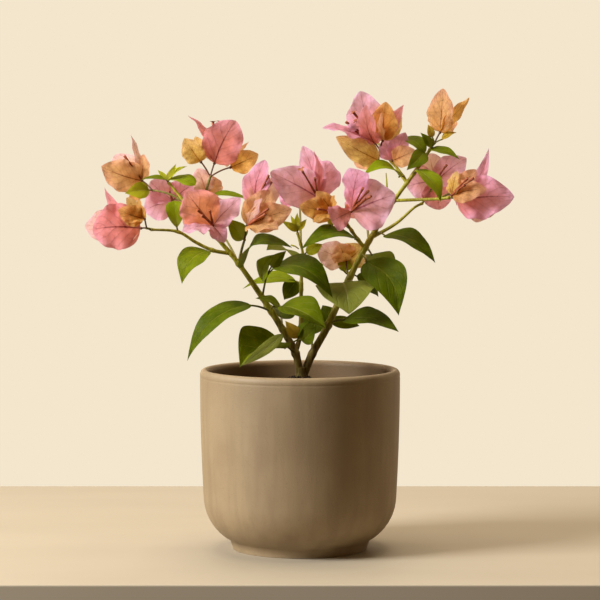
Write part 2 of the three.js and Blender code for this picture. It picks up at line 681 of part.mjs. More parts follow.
bougainvillea.add(mesh('pot', makePot(), MATERIALS.pot));
bougainvillea.add(mesh('soil', makeSoil(), MATERIALS.soil));
bougainvillea.add(mesh('foot', makeFoot(0), MATERIALS.bark));
bougainvillea.add(...limbMeshes);
for (const spray of SPRAYS) bougainvillea.add(makeSpray(spray));

export default bougainvillea;
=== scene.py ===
# %% [markdown]
# # A bougainvillea bush in a round ceramic pot
# The plant is young: three thin stems rise from one foot, short boughs leave them, and each bough or
# stem carries sprays of paper-thin bracts and heart-shaped leaves. The lesson first sets up the
# camera and the light, then the finishes, then the tools that make stems and blades, then the table
# that says where every spray stands. Last it grows everything from that table and adds the pot, the
# soil and the floor. All places in the table are in millimetres, from the middle of the pot's foot.

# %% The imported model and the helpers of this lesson
import math
import random

import bmesh
import bpy
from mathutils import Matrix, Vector, noise


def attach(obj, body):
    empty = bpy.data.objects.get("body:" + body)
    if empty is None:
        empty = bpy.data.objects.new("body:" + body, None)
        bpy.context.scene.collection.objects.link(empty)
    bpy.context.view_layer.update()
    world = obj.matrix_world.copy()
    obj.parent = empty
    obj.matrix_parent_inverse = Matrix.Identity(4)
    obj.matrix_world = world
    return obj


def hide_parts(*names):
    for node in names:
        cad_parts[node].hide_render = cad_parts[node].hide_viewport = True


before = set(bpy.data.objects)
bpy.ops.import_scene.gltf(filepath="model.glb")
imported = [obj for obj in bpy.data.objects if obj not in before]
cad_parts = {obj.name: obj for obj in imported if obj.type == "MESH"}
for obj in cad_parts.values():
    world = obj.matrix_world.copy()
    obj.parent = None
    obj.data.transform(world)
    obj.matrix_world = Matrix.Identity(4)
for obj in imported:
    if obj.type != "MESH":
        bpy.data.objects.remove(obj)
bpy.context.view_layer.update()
MM = 0.001

# %% [markdown]
# ## The camera
# A product picture is taken with a long lens from a little above the rim, so that the pot shows only
# a thin ellipse of its mouth. Two metres away, the near and the far side of the pot are drawn almost
# alike. The camera looks down by a few degrees only, and nothing is shifted.

# %% Camera
CAMERA_AWAY = 2.0
CAMERA_HEIGHT = 0.327
CAMERA_PITCH = math.radians(4.005)
LENS = 160.7
NEAREST_SEEN = 0.05

lens = bpy.data.cameras.new("camera")
lens.lens = LENS
lens.clip_start = NEAREST_SEEN
camera = bpy.data.objects.new("camera", lens)
camera.location = (0, -CAMERA_AWAY, CAMERA_HEIGHT)
camera.rotation_euler = (math.pi / 2 - CAMERA_PITCH, 0, 0)
bpy.context.scene.collection.objects.link(camera)
bpy.context.scene.camera = camera
print("camera looks down by", round(math.degrees(CAMERA_PITCH), 1), "degrees")

# %% [markdown]
# ## Lamps
# Soft daylight comes from a large window at the left, a little in front of the plant, and a weaker
# skylight straight above softens the shadows on the floor. Both are area lamps, because a large face
# gives a window's soft shadow, which a point lamp can't.

# %% Lamps
WINDOW = {"place": (-1.64, -0.74, 1.2), "size": 0.75, "power": 66, "color": (1.0, 0.99, 0.97)}
SKYLIGHT = {"place": (0.0, 0.25, 2.1), "size": 1.3, "power": 30, "color": (1.0, 0.88, 0.70)}
CROWN_MIDDLE = Vector((0, 0, 0.2))


def add_lamp(name, place, size, power, color):
    lamp = bpy.data.lights.new(name, "AREA")
    lamp.size = size
    lamp.energy = power
    lamp.color = color
    lamp_object = bpy.data.objects.new(name, lamp)
    lamp_object.location = place
    toward = CROWN_MIDDLE - Vector(place)
    lamp_object.rotation_euler = toward.to_track_quat("-Z", "Y").to_euler()
    bpy.context.scene.collection.objects.link(lamp_object)


add_lamp("window", **WINDOW)
add_lamp("skylight", **SKYLIGHT)

# %% [markdown]
# ## The room
# The world's colour is the room. Its wall behind the plant is bright, so the thin bracts glow with
# light from behind, and the side where the camera stands is dim and warm, so the pot's shaded side
# stays dark and brown. The camera itself sees one plain cream colour all round.

# %% Room
ROOM_SEEN = (0.90, 0.79, 0.61, 1)
WALL_LIGHT = (0.86, 0.67, 0.45, 1)
FRONT_LIGHT = (0.12, 0.075, 0.03, 1)
WALL_FROM, WALL_TO = 0.2, 0.6  # how far a direction points back, where the wall's light sets in

room = bpy.data.worlds.new("room")
room.use_nodes = True
room_nodes, room_links = room.node_tree.nodes, room.node_tree.links
room_way = room_nodes.new("ShaderNodeTexCoord")
room_axes = room_nodes.new("ShaderNodeSeparateXYZ")
room_back = room_nodes.new("ShaderNodeMapRange")
room_back.interpolation_type = "SMOOTHSTEP"
room_back.inputs["From Min"].default_value = WALL_FROM
room_back.inputs["From Max"].default_value = WALL_TO
room_color = room_nodes.new("ShaderNodeMix")
room_color.data_type = "RGBA"
room_color.inputs["A"].default_value = FRONT_LIGHT
room_color.inputs["B"].default_value = WALL_LIGHT
room_seen = room_nodes.new("ShaderNodeBackground")
room_seen.inputs["Color"].default_value = ROOM_SEEN
room_choice = room_nodes.new("ShaderNodeMixShader")
room_ray = room_nodes.new("ShaderNodeLightPath")
room_links.new(room_way.outputs["Generated"], room_axes.inputs[0])
room_links.new(room_axes.outputs["Y"], room_back.inputs["Value"])
room_links.new(room_back.outputs[0], room_color.inputs["Factor"])
room_links.new(room_color.outputs["Result"], room_nodes["Background"].inputs["Color"])
room_links.new(room_ray.outputs["Is Camera Ray"], room_choice.inputs["Fac"])
room_links.new(room_nodes["Background"].outputs[0], room_choice.inputs[1])
room_links.new(room_seen.outputs[0], room_choice.inputs[2])
room_links.new(room_choice.outputs[0], room_nodes["World Output"].inputs["Surface"])
bpy.context.scene.world = room
bpy.context.scene.view_settings.view_transform = "Standard"
print("room:", len(room_nodes), "nodes")

# %% [markdown]
# ## Shader maths
# A finish mixes many small patterns, and every step of that is a node. Written as plain sums the
# patterns stay readable, so one small class wraps a node's output and turns sums, differences and
# products into Math nodes. A second class holds the material and makes any other node.

# %% Wires
class Wire:
    """The output of a node. Arithmetic on it adds Math nodes."""

    def __init__(self, finish, socket):
        self.finish = finish
        self.socket = socket

    def math(self, operation, *others):
        return self.finish.node("Math", {"operation": operation}, dict(enumerate((self, *others))))

    def __add__(self, other):
        return self.math("ADD", other)

    def __sub__(self, other):
        return self.math("SUBTRACT", other)

    def __rsub__(self, other):
        return self.finish.node("Math", {"operation": "SUBTRACT"}, {0: other, 1: self})

    def __mul__(self, other):
        return self.math("MULTIPLY", other)

    def __abs__(self):
        return self.math("ABSOLUTE")

    __radd__ = __add__
    __rmul__ = __mul__

    def other(self, output):
        return Wire(self.finish, self.socket.node.outputs[output])


print("a wire adds a Math node for each + - * and abs")

# %% Finishes
MIX_FACTOR, MIX_FIRST, MIX_SECOND, MIX_COLOR = 0, 6, 7, 2  # a Mix node's sockets for colours
WALLS = 2  # light that shines through a blade passes both


class Finish:
    """A material in the making: node() adds a node, feed() sends a value to the shader."""

    def __init__(self, name):
        self.material = bpy.data.materials.new(name)
        self.material.use_nodes = True
        self.tree = self.material.node_tree
        self.shader = self.tree.nodes["Principled BSDF"]

    def node(self, kind, settings=None, values=None, output=0):
        made = self.tree.nodes.new("ShaderNode" + kind)
        for name, value in (settings or {}).items():
            if name == "stops":
                self.set_stops(made.color_ramp, value)
            else:
                setattr(made, name, value)
        for name, value in (values or {}).items():
            self.plug(made.inputs[name], value)
        return Wire(self, made.outputs[output])

    def plug(self, socket, value):
        if isinstance(value, Wire):
            self.tree.links.new(value.socket, socket)
        else:
            socket.default_value = value

    def feed(self, **values):
        for name, value in values.items():
            self.plug(self.shader.inputs[name.replace("_", " ")], value)

    def blend(self, factor, first, second, kind="MIX"):
        values = {MIX_FACTOR: factor, MIX_FIRST: first, MIX_SECOND: second}
        return self.node("Mix", {"data_type": "RGBA", "blend_type": kind}, values, MIX_COLOR)

    def fade(self, value, start, end):
        """0 before start and 1 after end, with a soft slope between them."""
        return self.node("MapRange", {"interpolation_type": "SMOOTHSTEP"},
                         {"Value": value, "From Min": start, "From Max": end})

    def grain(self, scale, detail=3.0, stretch=(1, 1, 1)):
        """Cloudy noise over the object's own place, with clouds of 1/scale metres."""
        place = self.node("TexCoord", output="Object")
        stretched = self.node("Mapping", values={"Vector": place, "Scale": stretch})
        return self.node("TexNoise", values={"Vector": stretched, "Scale": scale, "Detail": detail})

    def relief(self, height, distance):
        self.feed(Normal=self.node("Bump", values={"Height": height, "Distance": distance}))

    def let_through(self, painted, share):
        """Mixes in light that shines through one of a blade's two walls."""
        thin = self.node("Gamma", values={"Color": painted, "Gamma": 1 / WALLS})
        glow = self.node("BsdfTranslucent", values={"Color": thin})
        mixed = self.node("MixShader", values={0: share, 1: Wire(self, self.shader.outputs[0]), 2: glow})
        self.plug(self.tree.nodes["Material Output"].inputs["Surface"], mixed)

    @staticmethod
    def set_stops(ramp, stops):
        while len(ramp.elements) < len(stops):
            ramp.elements.new(1.0)
        for element, (place, color) in zip(ramp.elements, stops):
            element.position = place
            element.color = color


print("a finish mixes colours from sockets", MIX_FIRST, "and", MIX_SECOND)

# %% Colours
def color(red, green, blue):
    """A screen's colour, 0 to 255, as the linear light of shaders, by the screen standard's numbers."""
    screen = [channel / 255 for channel in (red, green, blue)]
    linear = [c / 12.92 if c <= 0.04045 else ((c + 0.055) / 1.055) ** 2.4 for c in screen]
    return (*linear, 1.0)


print("warm white in linear light:", [round(c, 2) for c in color(255, 245, 230)])

# %% [markdown]
# ## The pattern of a blade
# A leaf and a bract have the same plan: a midrib runs to the tip, side veins branch from it in pairs
# and a fine net joins them. The pattern could be painted, but a painting has one size, so it is worked
# out from the blade's own map: along it from base to tip, and across it from edge to edge. The side
# veins are a beat along the blade that is slanted towards the tip, and the net is a field of cells.

# %% Pattern of a blade
MAP = "blade"
MIDRIB_CORE, MIDRIB_EDGE = 0.028, 0.07  # of half the width
MIDRIB_TAPER = 0.04
VEIN_FROM, VEIN_FULL = 0.8, 0.97  # of the way from the middle between two veins to a vein
VEIN_END = 0.75  # of half the width, where side veins begin to fade
WANDER = 0.12
NET_WIDTH = 0.16
NET_STRETCH = 0.8


def blade_pattern(finish, pairs, slant, cells):
    """The ways along and aside, and masks from 0 to 1 of the midrib, the side veins and the net."""
    way = finish.node("UVMap", {"uv_map": MAP})
    split = finish.node("SeparateXYZ", values={0: way})
    along, across = split, split.other(1)
    side = abs(across - 0.5) * 2
    wander = (finish.grain(160) - 0.5) * WANDER
    midrib = 1 - finish.fade(side + along * MIDRIB_TAPER, MIDRIB_CORE, MIDRIB_EDGE)
    beat = ((along + wander) * pairs - side * (pairs * slant)).math("FRACT")
    inner = 1 - finish.fade(side, VEIN_END, 1.0)
    side_veins = finish.fade(abs(beat - 0.5) * 2, VEIN_FROM, VEIN_FULL) * inner
    warped = finish.node("VectorMath", {"operation": "MULTIPLY_ADD"},
                         {0: way, 1: (cells, cells * NET_STRETCH, 0), 2: finish.grain(300).other(1)})
    gaps = finish.node("TexVoronoi", {"feature": "DISTANCE_TO_EDGE"}, {"Vector": warped, "Scale": 1.0})
    net = 1 - finish.fade(gaps, 0.0, NET_WIDTH)
    return along, side, midrib, side_veins, net


print("the midrib is", round(MIDRIB_EDGE * 100), "% of a blade's width at the base")

# %% [markdown]
# ## The finish of bracts
# A bract is a leaf that has turned to coloured paper. Its midrib is dark, and its colour shifts from
# warm orange at the base to pink at the tip as it ages, with worn and mottled spots and a darker rim.
# Light passes through it, so translucent light is mixed in, which a thick surface would not have. It
# passes two walls of the modelled paper, so each wall takes only the square root of the colour away.
# The table deals out eight tints, mostly alike within a bloom, whose bracts are much of one age.

# %% Bract finishes
PAPER_GLOW = 0.68
PAPER_STOPS = (0.02, 0.42, 0.95)  # from base to tip
PAPER_LINES = {"midrib_fade": 0.6, "side_veins": 0.22, "rim": 0.16}


def bract_finish(name, base, middle, tip, vein, meshed):
    finish = Finish(name)
    along, side, midrib, side_veins, net = blade_pattern(finish, pairs=6, slant=0.34, cells=8)
    stops = [(place, color(*tint)) for place, tint in zip(PAPER_STOPS, (base, middle, tip))]
    shifted = along * 0.8 + side * side * 0.35 + (finish.grain(90) - 0.5) * 0.6
    paper = finish.node("ValToRGB", {"stops": stops}, {0: shifted})
    worn = finish.blend((finish.grain(260) - 0.35) * 0.5, paper, color(*tip))
    mottled = finish.blend(finish.fade(finish.grain(620, 2.0), 0.45, 0.62) * 0.16, worn, color(*base))
    rim = finish.fade(side, 0.9, 1.0)
    lines = (midrib * (1.0 - along * PAPER_LINES["midrib_fade"]) + side_veins * PAPER_LINES["side_veins"]
             + net * meshed + rim * PAPER_LINES["rim"])
    painted = finish.blend(lines, mottled, color(*vein))
    finish.feed(Base_Color=painted, Roughness=0.6, Specular_IOR_Level=0.25)
    finish.relief(midrib * 0.6 + side_veins * 0.5 + net * 0.25 + finish.grain(700) * 0.3, 0.0004)
    finish.let_through(painted, PAPER_GLOW)
    return finish.material


BRACT_TINTS = {
    "blush": ((242, 202, 154), (248, 216, 194), (248, 212, 222), (190, 114, 90), 0.12),
    "lilac": ((246, 180, 168), (252, 198, 214), (253, 218, 246), (168, 78, 106), 0.1),
    "pink": ((238, 158, 142), (248, 182, 202), (251, 206, 240), (152, 54, 76), 0.12),
    "rose": ((233, 148, 114), (243, 165, 158), (247, 186, 204), (142, 52, 50), 0.12),
    "salmon": ((240, 164, 100), (246, 174, 124), (246, 180, 186), (140, 56, 34), 0.12),
    "apricot": ((242, 188, 104), (250, 210, 150), (250, 200, 174), (150, 80, 34), 0.2),
    "amber": ((236, 176, 70), (248, 200, 106), (250, 204, 140), (136, 70, 20), 0.2),
    "gold": ((244, 206, 90), (252, 228, 140), (252, 220, 164), (168, 106, 30), 0.3),
}
bract_looks = {tint: bract_finish("paper_" + tint, *colors) for tint, colors in BRACT_TINTS.items()}
print("bract tints:", ", ".join(bract_looks))

# %% [markdown]
# ## The finish of leaves
# A leaf is a little waxy, so it gets a soft shine. Its veins are paler than the blade, and so is its
# underside, which is found by the faces that look down. The young leaves of the shoots are yellow-green.
# The dark, mid and bright tints are one green at three strengths, partly the leaves' own tone and partly
# painted light and shade: bright on lit leaves and dark low in the crown, where shade falls. The pattern
# of the bracts serves here too, with fewer side veins that bend more towards the tip.

# %% Leaf finishes
LEAF_GLOW = 0.42
LEAF_LINES = {"midrib": 0.6, "side_veins": 0.16, "net": 0.04}
UNDERSIDE = 0.45
BELOW_FULL, BELOW_FROM = -0.35, -0.05  # how far a face looks up, 1 at most


def leaf_finish(name, blade, deep, vein, shine):
    finish = Finish(name)
    along, side, midrib, side_veins, net = blade_pattern(finish, pairs=5, slant=0.42, cells=12)
    green = finish.blend(finish.fade(finish.grain(110), 0.3, 0.7), color(*blade), color(*deep))
    lines = (midrib * LEAF_LINES["midrib"] + side_veins * LEAF_LINES["side_veins"]
             + net * LEAF_LINES["net"])
    upright = finish.node("SeparateXYZ", values={0: finish.node("NewGeometry", output="Normal")}).other(2)
    below = 1 - finish.fade(upright, BELOW_FULL, BELOW_FROM)
    faced = finish.blend(below * UNDERSIDE, green, color(*vein))
    painted = finish.blend(lines, faced, color(*vein))
    finish.feed(Base_Color=painted, Roughness=(finish.grain(240) - 0.5) * 0.12 + shine,
                Specular_IOR_Level=0.12)
    finish.relief(1 - midrib - side_veins * 0.6 - net * 0.2 + finish.grain(500) * 0.2, 0.0005)
    finish.let_through(painted, LEAF_GLOW)
    return finish.material


# dark, mid and bright are one green at three strengths: partly own tone, partly painted light and shade
LEAF_TINTS = {
    "dark": ((108, 124, 2), (88, 106, 1), (158, 166, 50), 0.5),
    "mid": ((132, 146, 3), (112, 128, 2), (178, 182, 64), 0.5),
    "bright": ((160, 178, 10), (142, 160, 6), (200, 206, 86), 0.46),
    "young": ((204, 204, 44), (180, 186, 28), (222, 216, 106), 0.5),
    "pale": ((160, 166, 70), (142, 150, 56), (196, 198, 124), 0.44),
    "gold": ((214, 182, 60), (192, 160, 46), (170, 134, 50), 0.55),
}
leaf_looks = {tint: leaf_finish("leaf_" + tint, *colors) for tint, colors in LEAF_TINTS.items()}
print("leaf tints:", ", ".join(leaf_looks))

# %% [markdown]
# ## The finish of stems, stalks and flowers
# The stems are brown and corky at the foot and turn olive green higher up, where the bark is young.
# The change follows the height, with noise so that it has no edge. The thin stalks of the leaves
# are green, and those of the blooms a dark reddish brown. The true flowers are rust-coloured tubes,
# and the star at the mouth of an open one is browner still.

# %% Stem finish
CORK_TO, OLIVE_FROM = 0.146, 0.194  # metres above the ground


def bark_finish():
    finish = Finish("bark")
    place = finish.node("TexCoord", output="Object")
    height = finish.node("SeparateXYZ", values={0: place}).other(2)
    streaks = finish.grain(420, 4.0, (1, 1, 0.16))
    blotches = finish.grain(120)
    young = finish.fade(height + (blotches - 0.5) * 0.05, CORK_TO, OLIVE_FROM)
    cork = finish.blend(finish.fade(streaks, 0.35, 0.65), color(92, 76, 26), color(150, 132, 62))
    olive = finish.blend(finish.fade(streaks, 0.4, 0.65), color(150, 144, 22), color(184, 180, 48))
    finish.feed(Base_Color=finish.blend(young, cork, olive), Roughness=0.72 - young * 0.2)
    finish.relief(streaks + finish.grain(1400) * 0.3, 0.0005)
    return finish.material


bark_look = bark_finish()
print("stem finish:", bark_look.name)

# %% Stalk and flower finishes
def stalk_finish(name, light, dark, shine):
    finish = Finish(name)
    streaks = finish.grain(600, 3.0)
    finish.feed(Base_Color=finish.blend(finish.fade(streaks, 0.35, 0.65), color(*dark), color(*light)),
                Roughness=(streaks - 0.5) * 0.2 + shine)
    finish.relief(streaks, 0.0002)
    return finish.material


stalk_looks = {
    "green": stalk_finish("green_stalk", (136, 132, 48), (104, 98, 30), 0.5),
    "red": stalk_finish("red_stalk", (118, 74, 40), (84, 44, 24), 0.5),
    "flower": stalk_finish("flower_tube", (178, 96, 58), (138, 62, 36), 0.6),
    "star": stalk_finish("flower_star", (172, 100, 58), (122, 62, 34), 0.6),
}
print("stalk finishes:", ", ".join(look.name for look in stalk_looks.values()))

# %% [markdown]
# ## Curves
# Every stem follows a smooth curve through a few places. The curve here is a Catmull-Rom spline whose
# knots are spaced by the square root of the distance, which never loops or overshoots between near
# places. A twig is simpler: it runs from its root to its end and bows up a little in between.

# %% Smooth curves
SAMPLES = 200
SPAN_STEPS = 40


def evenly(places, count):
    """The same line, divided into count equal steps."""
    lengths = [0.0]
    for first, second in zip(places, places[1:]):
        lengths.append(lengths[-1] + (second - first).length)
    even = []
    segment = 0
    for step in range(count + 1):
        target = lengths[-1] * step / count
        while segment < len(places) - 2 and lengths[segment + 1] < target:
            segment += 1
        span = lengths[segment + 1] - lengths[segment]
        even.append(places[segment].lerp(places[segment + 1], (target - lengths[segment]) / span))
    return even


def smooth_curve(route):
    """A centripetal Catmull-Rom spline through the route, in SAMPLES equal steps."""
    first = route[0] * 2 - route[1]
    last = route[-1] * 2 - route[-2]
    knots = [first, *route, last]
    places = []
    for a, b, c, d in zip(knots, knots[1:], knots[2:], knots[3:]):
        before, between, after = [math.sqrt((q - p).length) for p, q in ((a, b), (b, c), (c, d))]
        leaving = ((b - a) / before - (c - a) / (before + between) + (c - b) / between) * between
        arriving = ((c - b) / between - (d - b) / (between + after) + (d - c) / after) * between
        for step in range(SPAN_STEPS):
            t = step / SPAN_STEPS
            places.append(b * (2 * t**3 - 3 * t**2 + 1) + leaving * (t**3 - 2 * t**2 + t)
                          + c * (3 * t**2 - 2 * t**3) + arriving * (t**3 - t**2))
    return evenly([*places, route[-1]], SAMPLES)


sample = smooth_curve([Vector((0, 0, 0)), Vector((10, 0, 0)), Vector((10, 0, 10))])
sample_length = sum((second - first).length for first, second in zip(sample, sample[1:]))
print("a bend over 20 mm of straight lines is", round(sample_length, 1), "mm long")

# %% Twigs and places on a curve
TWIG_RISE = 0.12
TWIG_STEPS = 24


def bowed(start, middle, end, steps):
    """A line that leaves start towards middle and comes to end from there."""
    shares = [step / steps for step in range(steps + 1)]
    return [start.lerp(middle, share).lerp(middle.lerp(end, share), share) for share in shares]


def twig_curve(root, end):
    middle = root.lerp(end, 0.5) + Vector((0, 0, (end - root).length * TWIG_RISE))
    return bowed(root, middle, end, TWIG_STEPS)


def at_height(curve, height):
    return next((place for place in curve if place.z >= height), curve[-1])


def nearest(curve, target):
    return min(curve, key=lambda place: (place - target).length)


twig = twig_curve(Vector((0, 0, 0)), Vector((30, 0, 0)))
print("a twig of 30 mm rises by", round(max(place.z for place in twig), 1), "mm")

# %% [markdown]
# ## Small helpers for grown shapes
# Grown things are never quite even. Three helpers say how: noise in a few layers, a soft hump where a
# stalk leaves its stem or a tube swells, and a limit, so that no blade gets too few or too many squares.

# %% Noise, humps and limits
def rough(spot, layers, seed=Vector()):
    """Noise at a place, as a sum of layers, each given by its fineness and its share."""
    return sum(share * noise.noise(spot * fineness + seed) for fineness, share in layers)


def hump(distance, reach):
    return math.exp(-(distance / reach) ** 2)


def within(value, least, most):
    return min(max(value, least), most)


print("a hump is down to", round(hump(1.0, 1.0), 2), "at its reach")

# %% [markdown]
# ## Tubes and blades from sheets
# Two shapes make the whole plant. A stem or stalk is a sheet of squares rolled round a curve, and a
# leaf or bract is a sheet of squares pulled out to a point at both ends. So each starts as a grid,
# made by one operator that also lays its map, and every corner is then carried to its place. Where
# the sheet meets itself, at a seam or a pointed end, the doubled corners are welded.

# %% Sheets
WELD = 0.004  # mm, nearer corners than this are one


def new_mesh():
    mesh = bmesh.new()
    mesh.loops.layers.uv.new(MAP)
    return mesh


def add_sheet(mesh, rows, columns, carry):
    """A grid of rows by columns. carry(along, across) gives each corner's place, both from 0 to 1."""
    made = bmesh.ops.create_grid(mesh, x_segments=rows, y_segments=columns, size=1.0, calc_uvs=True)
    for corner in made["verts"]:
        corner.co = carry((corner.co.x + 1) / 2, (corner.co.y + 1) / 2)
    bmesh.ops.remove_doubles(mesh, verts=made["verts"], dist=WELD)


print("corners weld within", WELD, "mm")

# %% Tubes
CAP_RINGS = (0.0, 0.7)  # the radius of the rings that round off an end
FEWEST_ROWS = 3


def frames_along(curve):
    """A side direction at each place of a curve, turned with it and never twisted."""
    directions = [(b - a).normalized() for a, b in zip(curve, curve[1:])]
    directions.append(directions[-1])
    side = directions[0].orthogonal().normalized()
    sides = [side]
    for before, after in zip(directions, directions[1:]):
        side = before.rotation_difference(after) @ side
        sides.append(side.normalized())
    return [(side, direction.cross(side)) for side, direction in zip(sides, directions)]


def add_tube(mesh, curve, radius_at, step, sides, relief=None):
    """A tube with rounded ends. radius_at(share) is in mm, and relief(place, way) swells the wall."""
    length = sum((b - a).length for a, b in zip(curve, curve[1:]))
    body_rows = max(FEWEST_ROWS, round(length / step))
    line = evenly(curve, body_rows)
    frames = frames_along(line)
    rows = body_rows + 2 * len(CAP_RINGS)

    def carry(along, across):
        row = round(along * rows)
        place = within(row - len(CAP_RINGS), 0, body_rows)
        end = min(row, rows - row)
        narrow = CAP_RINGS[end] if end < len(CAP_RINGS) else 1.0
        angle = math.tau * across
        side, up = frames[place]
        way = side * math.cos(angle) + up * math.sin(angle)
        swell = relief(line[place], way) if relief else 0.0
        return line[place] + way * (radius_at(place / body_rows) + swell) * narrow

    add_sheet(mesh, rows, sides, carry)


def taper(foot, tip):
    return lambda share: foot + (tip - foot) * share


print("a tube ends in", len(CAP_RINGS), "rings")

# %% [markdown]
# ### Blades
# A blade's outline is a product of two powers: one opens it at the base and the other draws it to its
# point. A leaf is drawn out long or is a broad heart, a bract is rounder, and some bracts are kites,
# spikes, or blunt and widest near the tip. The blade bows lengthwise and may bend aside, its two halves
# fold up from the midrib, its edges wave and are a little ragged, and a bract's paper is crumpled.

# %% Outlines of blades
FACES = {
    "front": Vector((0, -1, 0.15)),
    "frontLeft": Vector((-0.35, -0.9, 0.2)),
    "back": Vector((0, 1, 0.2)),
    "up": Vector((0, -0.45, 0.9)),
    "left": Vector((-0.7, -0.7, 0.1)),
    "right": Vector((0.7, -0.7, 0.1)),
    "upLeft": Vector((-0.5, -0.6, 0.6)),
    "upRight": Vector((0.5, -0.6, 0.6)),
    "upBack": Vector((0.1, 0.6, 0.8)),
}
SHAPES = {"leaf": (0.6, 1.15), "bract": (0.5, 0.78), "round": (0.5, 0.64), "kite": (0.95, 1.15),
          "heart": (0.36, 0.95), "spike": (0.75, 1.3), "broad": (0.85, 0.38), "blunt": (0.8, 0.2)}


def outline(share, opening, closing):
    """Half the width at a share of the length, 1 where it is widest."""
    peak = opening / (opening + closing)
    return (share / peak) ** opening * ((1 - share) / (1 - peak)) ** closing


print("widest at:", {name: round(a / (a + b), 2) for name, (a, b) in SHAPES.items()})

# %% Blades
LEAF_HABIT = {"wave": 0.03, "waves": 1.6, "crumple": 0.35, "curl": 0.06, "ragged": 0.03, "root": -0.6}
BRACT_HABIT = {"wave": 0.1, "waves": 2.4, "crumple": 1.1, "curl": 0.05, "ragged": 0.14, "root": 0.5}
SQUARE = 1.25  # mm, the size of a blade's squares
ROWS, COLUMNS = (8, 34), (3, 12)  # the fewest and the most, lengthwise and in half a width
END_EASE = 0.6  # crowds the rows towards both ends
CREASE = 0.01  # rounds the fold at the midrib
CRUMPLES = ((0.16, 1.0), (0.42, 0.4))
RAGS, RAGS_APART = 5, 3
SWAY = 0.04
NOISE_FIELD = 99


def add_blade(mesh, blade, habit, chance):
    base, tip = blade["base"], blade["tip"]
    length = (tip - base).length
    along_way = (tip - base).normalized()
    up = FACES[blade["face"]]
    up = (up - along_way * up.dot(along_way)).normalized()
    across_way = along_way.cross(up)
    half_width = blade["width"] / 2
    fold = math.radians(blade["fold"])
    phases = [chance.uniform(0, math.tau) for edge in range(2)]
    sway = (blade["bend"] + chance.uniform(-SWAY, SWAY)) * length
    seed = Vector([chance.uniform(0, NOISE_FIELD) for axis in range(3)])
    rows = within(round(length / SQUARE), *ROWS)
    columns = 2 * within(round(half_width / SQUARE), *COLUMNS)

    def carry(along, across):
        eased = (1 - math.cos(math.pi * along)) / 2
        share = along + (eased - along) * END_EASE
        side = across * 2 - 1
        edge = Vector((share * RAGS, math.copysign(RAGS_APART, side), 0))
        half = half_width * outline(share, *SHAPES[blade["shape"]])
        half *= 1 + habit["ragged"] * noise.noise(edge + seed)
        rise = blade["bow"] * length * 4 * share * (1 - share)
        rise += (math.sqrt(side * side + CREASE) - math.sqrt(CREASE)) * half * math.sin(fold)
        rise -= habit["curl"] * half * side**4
        phase = phases[0] if side < 0 else phases[1]
        rise += habit["wave"] * half * side * side * math.sin(math.tau * habit["waves"] * share + phase) * 2
        spot = Vector((share * length, side * half, 0))
        rise += habit["crumple"] * rough(spot, CRUMPLES, seed) * min(1.0, 4 * share)
        bend = sway * math.sin(math.pi * share)
        return (base + along_way * (length * share + habit["root"] * (1 - share))
                + across_way * (side * half * math.cos(fold) + bend) + up * rise)

    add_sheet(mesh, rows, columns, carry)


print("a blade has up to", ROWS[1], "by", 2 * COLUMNS[1], "squares")

# %% [markdown]
# ### From sheets to pieces
# Leaves and paper are thin but not endlessly thin, so a wall is given to every sheet before it becomes
# a piece. All blades of a tint are one piece, because that keeps their number small. Each piece says on
# which body it rides, what it is made of, and which plain solids it stands for.

# %% Walls and pieces
SHARP = math.radians(50)


def thicken(mesh, thickness):
    """Gives open sheets a wall, and keeps the rim's edges sharp so that the faces shade flat."""
    bmesh.ops.solidify(mesh, geom=mesh.faces[:], thickness=thickness)
    for edge in mesh.edges:
        edge.smooth = edge.calc_face_angle(0) < SHARP


def make_piece(name, mesh, looks, slot, *nodes):
    """Turns a mesh in mm into a piece of the object, in metres, with its finish. The slot is not used."""
    bmesh.ops.recalc_face_normals(mesh, faces=mesh.faces[:])
    bmesh.ops.scale(mesh, vec=(MM, MM, MM), verts=mesh.verts[:])
    for face in mesh.faces:
        face.smooth = True
    data = bpy.data.meshes.new(name)
    mesh.to_mesh(data)
    mesh.free()
    data.materials.append(looks)
    piece = bpy.data.objects.new(name, data)
    bpy.context.scene.collection.objects.link(piece)
    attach(piece, "root")
    if nodes:
        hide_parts(*nodes)
    print(f"{name}: {len(data.polygons)} faces")


print("edges over", round(math.degrees(SHARP)), "degrees stay sharp")

# %% [markdown]
# ## The limbs
# Three stems share one foot. The left and the right one carry the crown, and the middle one is a thin
# shoot. Boughs start on a stem, at a height. Each limb is one smooth curve that tapers evenly from
# its foot to its tip, so the table needs a few places and two radii.

